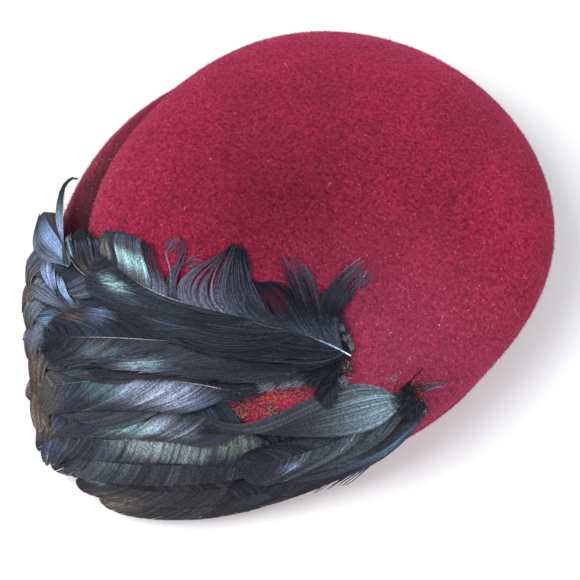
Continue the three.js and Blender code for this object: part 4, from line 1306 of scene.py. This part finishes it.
def dress_hat():
    """The felt and its nap, the feathers, and the loose hairs among them."""
    felt = placed("felt_body_soft", felt_mesh(), felt_material(), "felt")
    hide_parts("felt_body")
    placed("felt_nap", nap_mesh(np.random.default_rng(NAP_SEED)), nap_material(), "felt")
    barbs = feather_material()
    for seed, row in enumerate(FEATHERS):
        feather_piece(row, np.random.default_rng(seed), barbs)
    loose = Grids()
    rng = np.random.default_rng(LOOSE_SEED)
    for row in TUFTS:
        add_tuft(loose, row, rng)
    loose.piece("loose_hairs", barbs, SLOTS[TOP])


# --- camera and studio, in metres

CAMERA_AZIMUTH = 42.0
CAMERA_ELEVATION = 66.0
CAMERA_DISTANCE = 0.5
CAMERA_LENS = 70.0
CAMERA_AIM = Vector((0.0179, -0.0059, 0.025))
# Each light's name, azimuth, elevation, distance from the aim, size and watts.
LIGHTS = [
    ("key_light", -42, 50, 1.1, 0.7, 13.0),
    ("fill_light", 98, 46, 1.3, 1.0, 9.0),
]
FLOOR_SIZE = 4
FLOOR_COLOUR = (0.82, 0.82, 0.82, 1)
ROOM_COLOUR, ROOM_STRENGTH = (0.9, 0.93, 1.0, 1), 0.55


def towards(azimuth, elevation):
    """The way from the hat to a viewer at an azimuth and an elevation, in degrees."""
    a, e = math.radians(azimuth), math.radians(elevation)
    return Vector((math.sin(a) * math.cos(e), -math.cos(a) * math.cos(e), math.sin(e)))


def looking(thing, spot, aim):
    """Places a camera or light at a spot, turned to an aim."""
    made = bpy.data.objects.new(thing.name, thing)
    bpy.context.scene.collection.objects.link(made)
    made.location = spot
    made.rotation_euler = (aim - spot).to_track_quat("-Z", "Y").to_euler()
    return made


def area_light(name, azimuth, elevation, distance, size, watts):
    """A soft light that shines on the camera's aim."""
    light = bpy.data.lights.new(name, "AREA")
    light.size = size
    light.energy = watts
    looking(light, CAMERA_AIM + towards(azimuth, elevation) * distance, CAMERA_AIM)


def studio():
    """A pale floor, soft lights and the camera."""
    lens = bpy.data.cameras.new("camera")
    lens.lens = CAMERA_LENS
    spot = CAMERA_AIM + towards(CAMERA_AZIMUTH, CAMERA_ELEVATION) * CAMERA_DISTANCE
    bpy.context.scene.camera = looking(lens, spot, CAMERA_AIM)
    for light in LIGHTS:
        area_light(*light)
    bpy.ops.mesh.primitive_plane_add(size=FLOOR_SIZE)
    floor = bpy.context.object
    floor.name = "floor"
    floor.data.materials.append(Shading("pale_floor", 0.8, Base_Color=FLOOR_COLOUR).material)
    floor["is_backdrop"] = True
    world = bpy.data.worlds.new("soft_room")
    world.use_nodes = True
    background = world.node_tree.nodes["Background"]
    background.inputs["Color"].default_value = ROOM_COLOUR
    background.inputs["Strength"].default_value = ROOM_STRENGTH
    bpy.context.scene.world = world
    bpy.context.scene.view_settings.view_transform = "Standard"


dress_hat()
studio()
sizes = {"cad_box": CAD_BOX, "visual_box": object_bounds()}
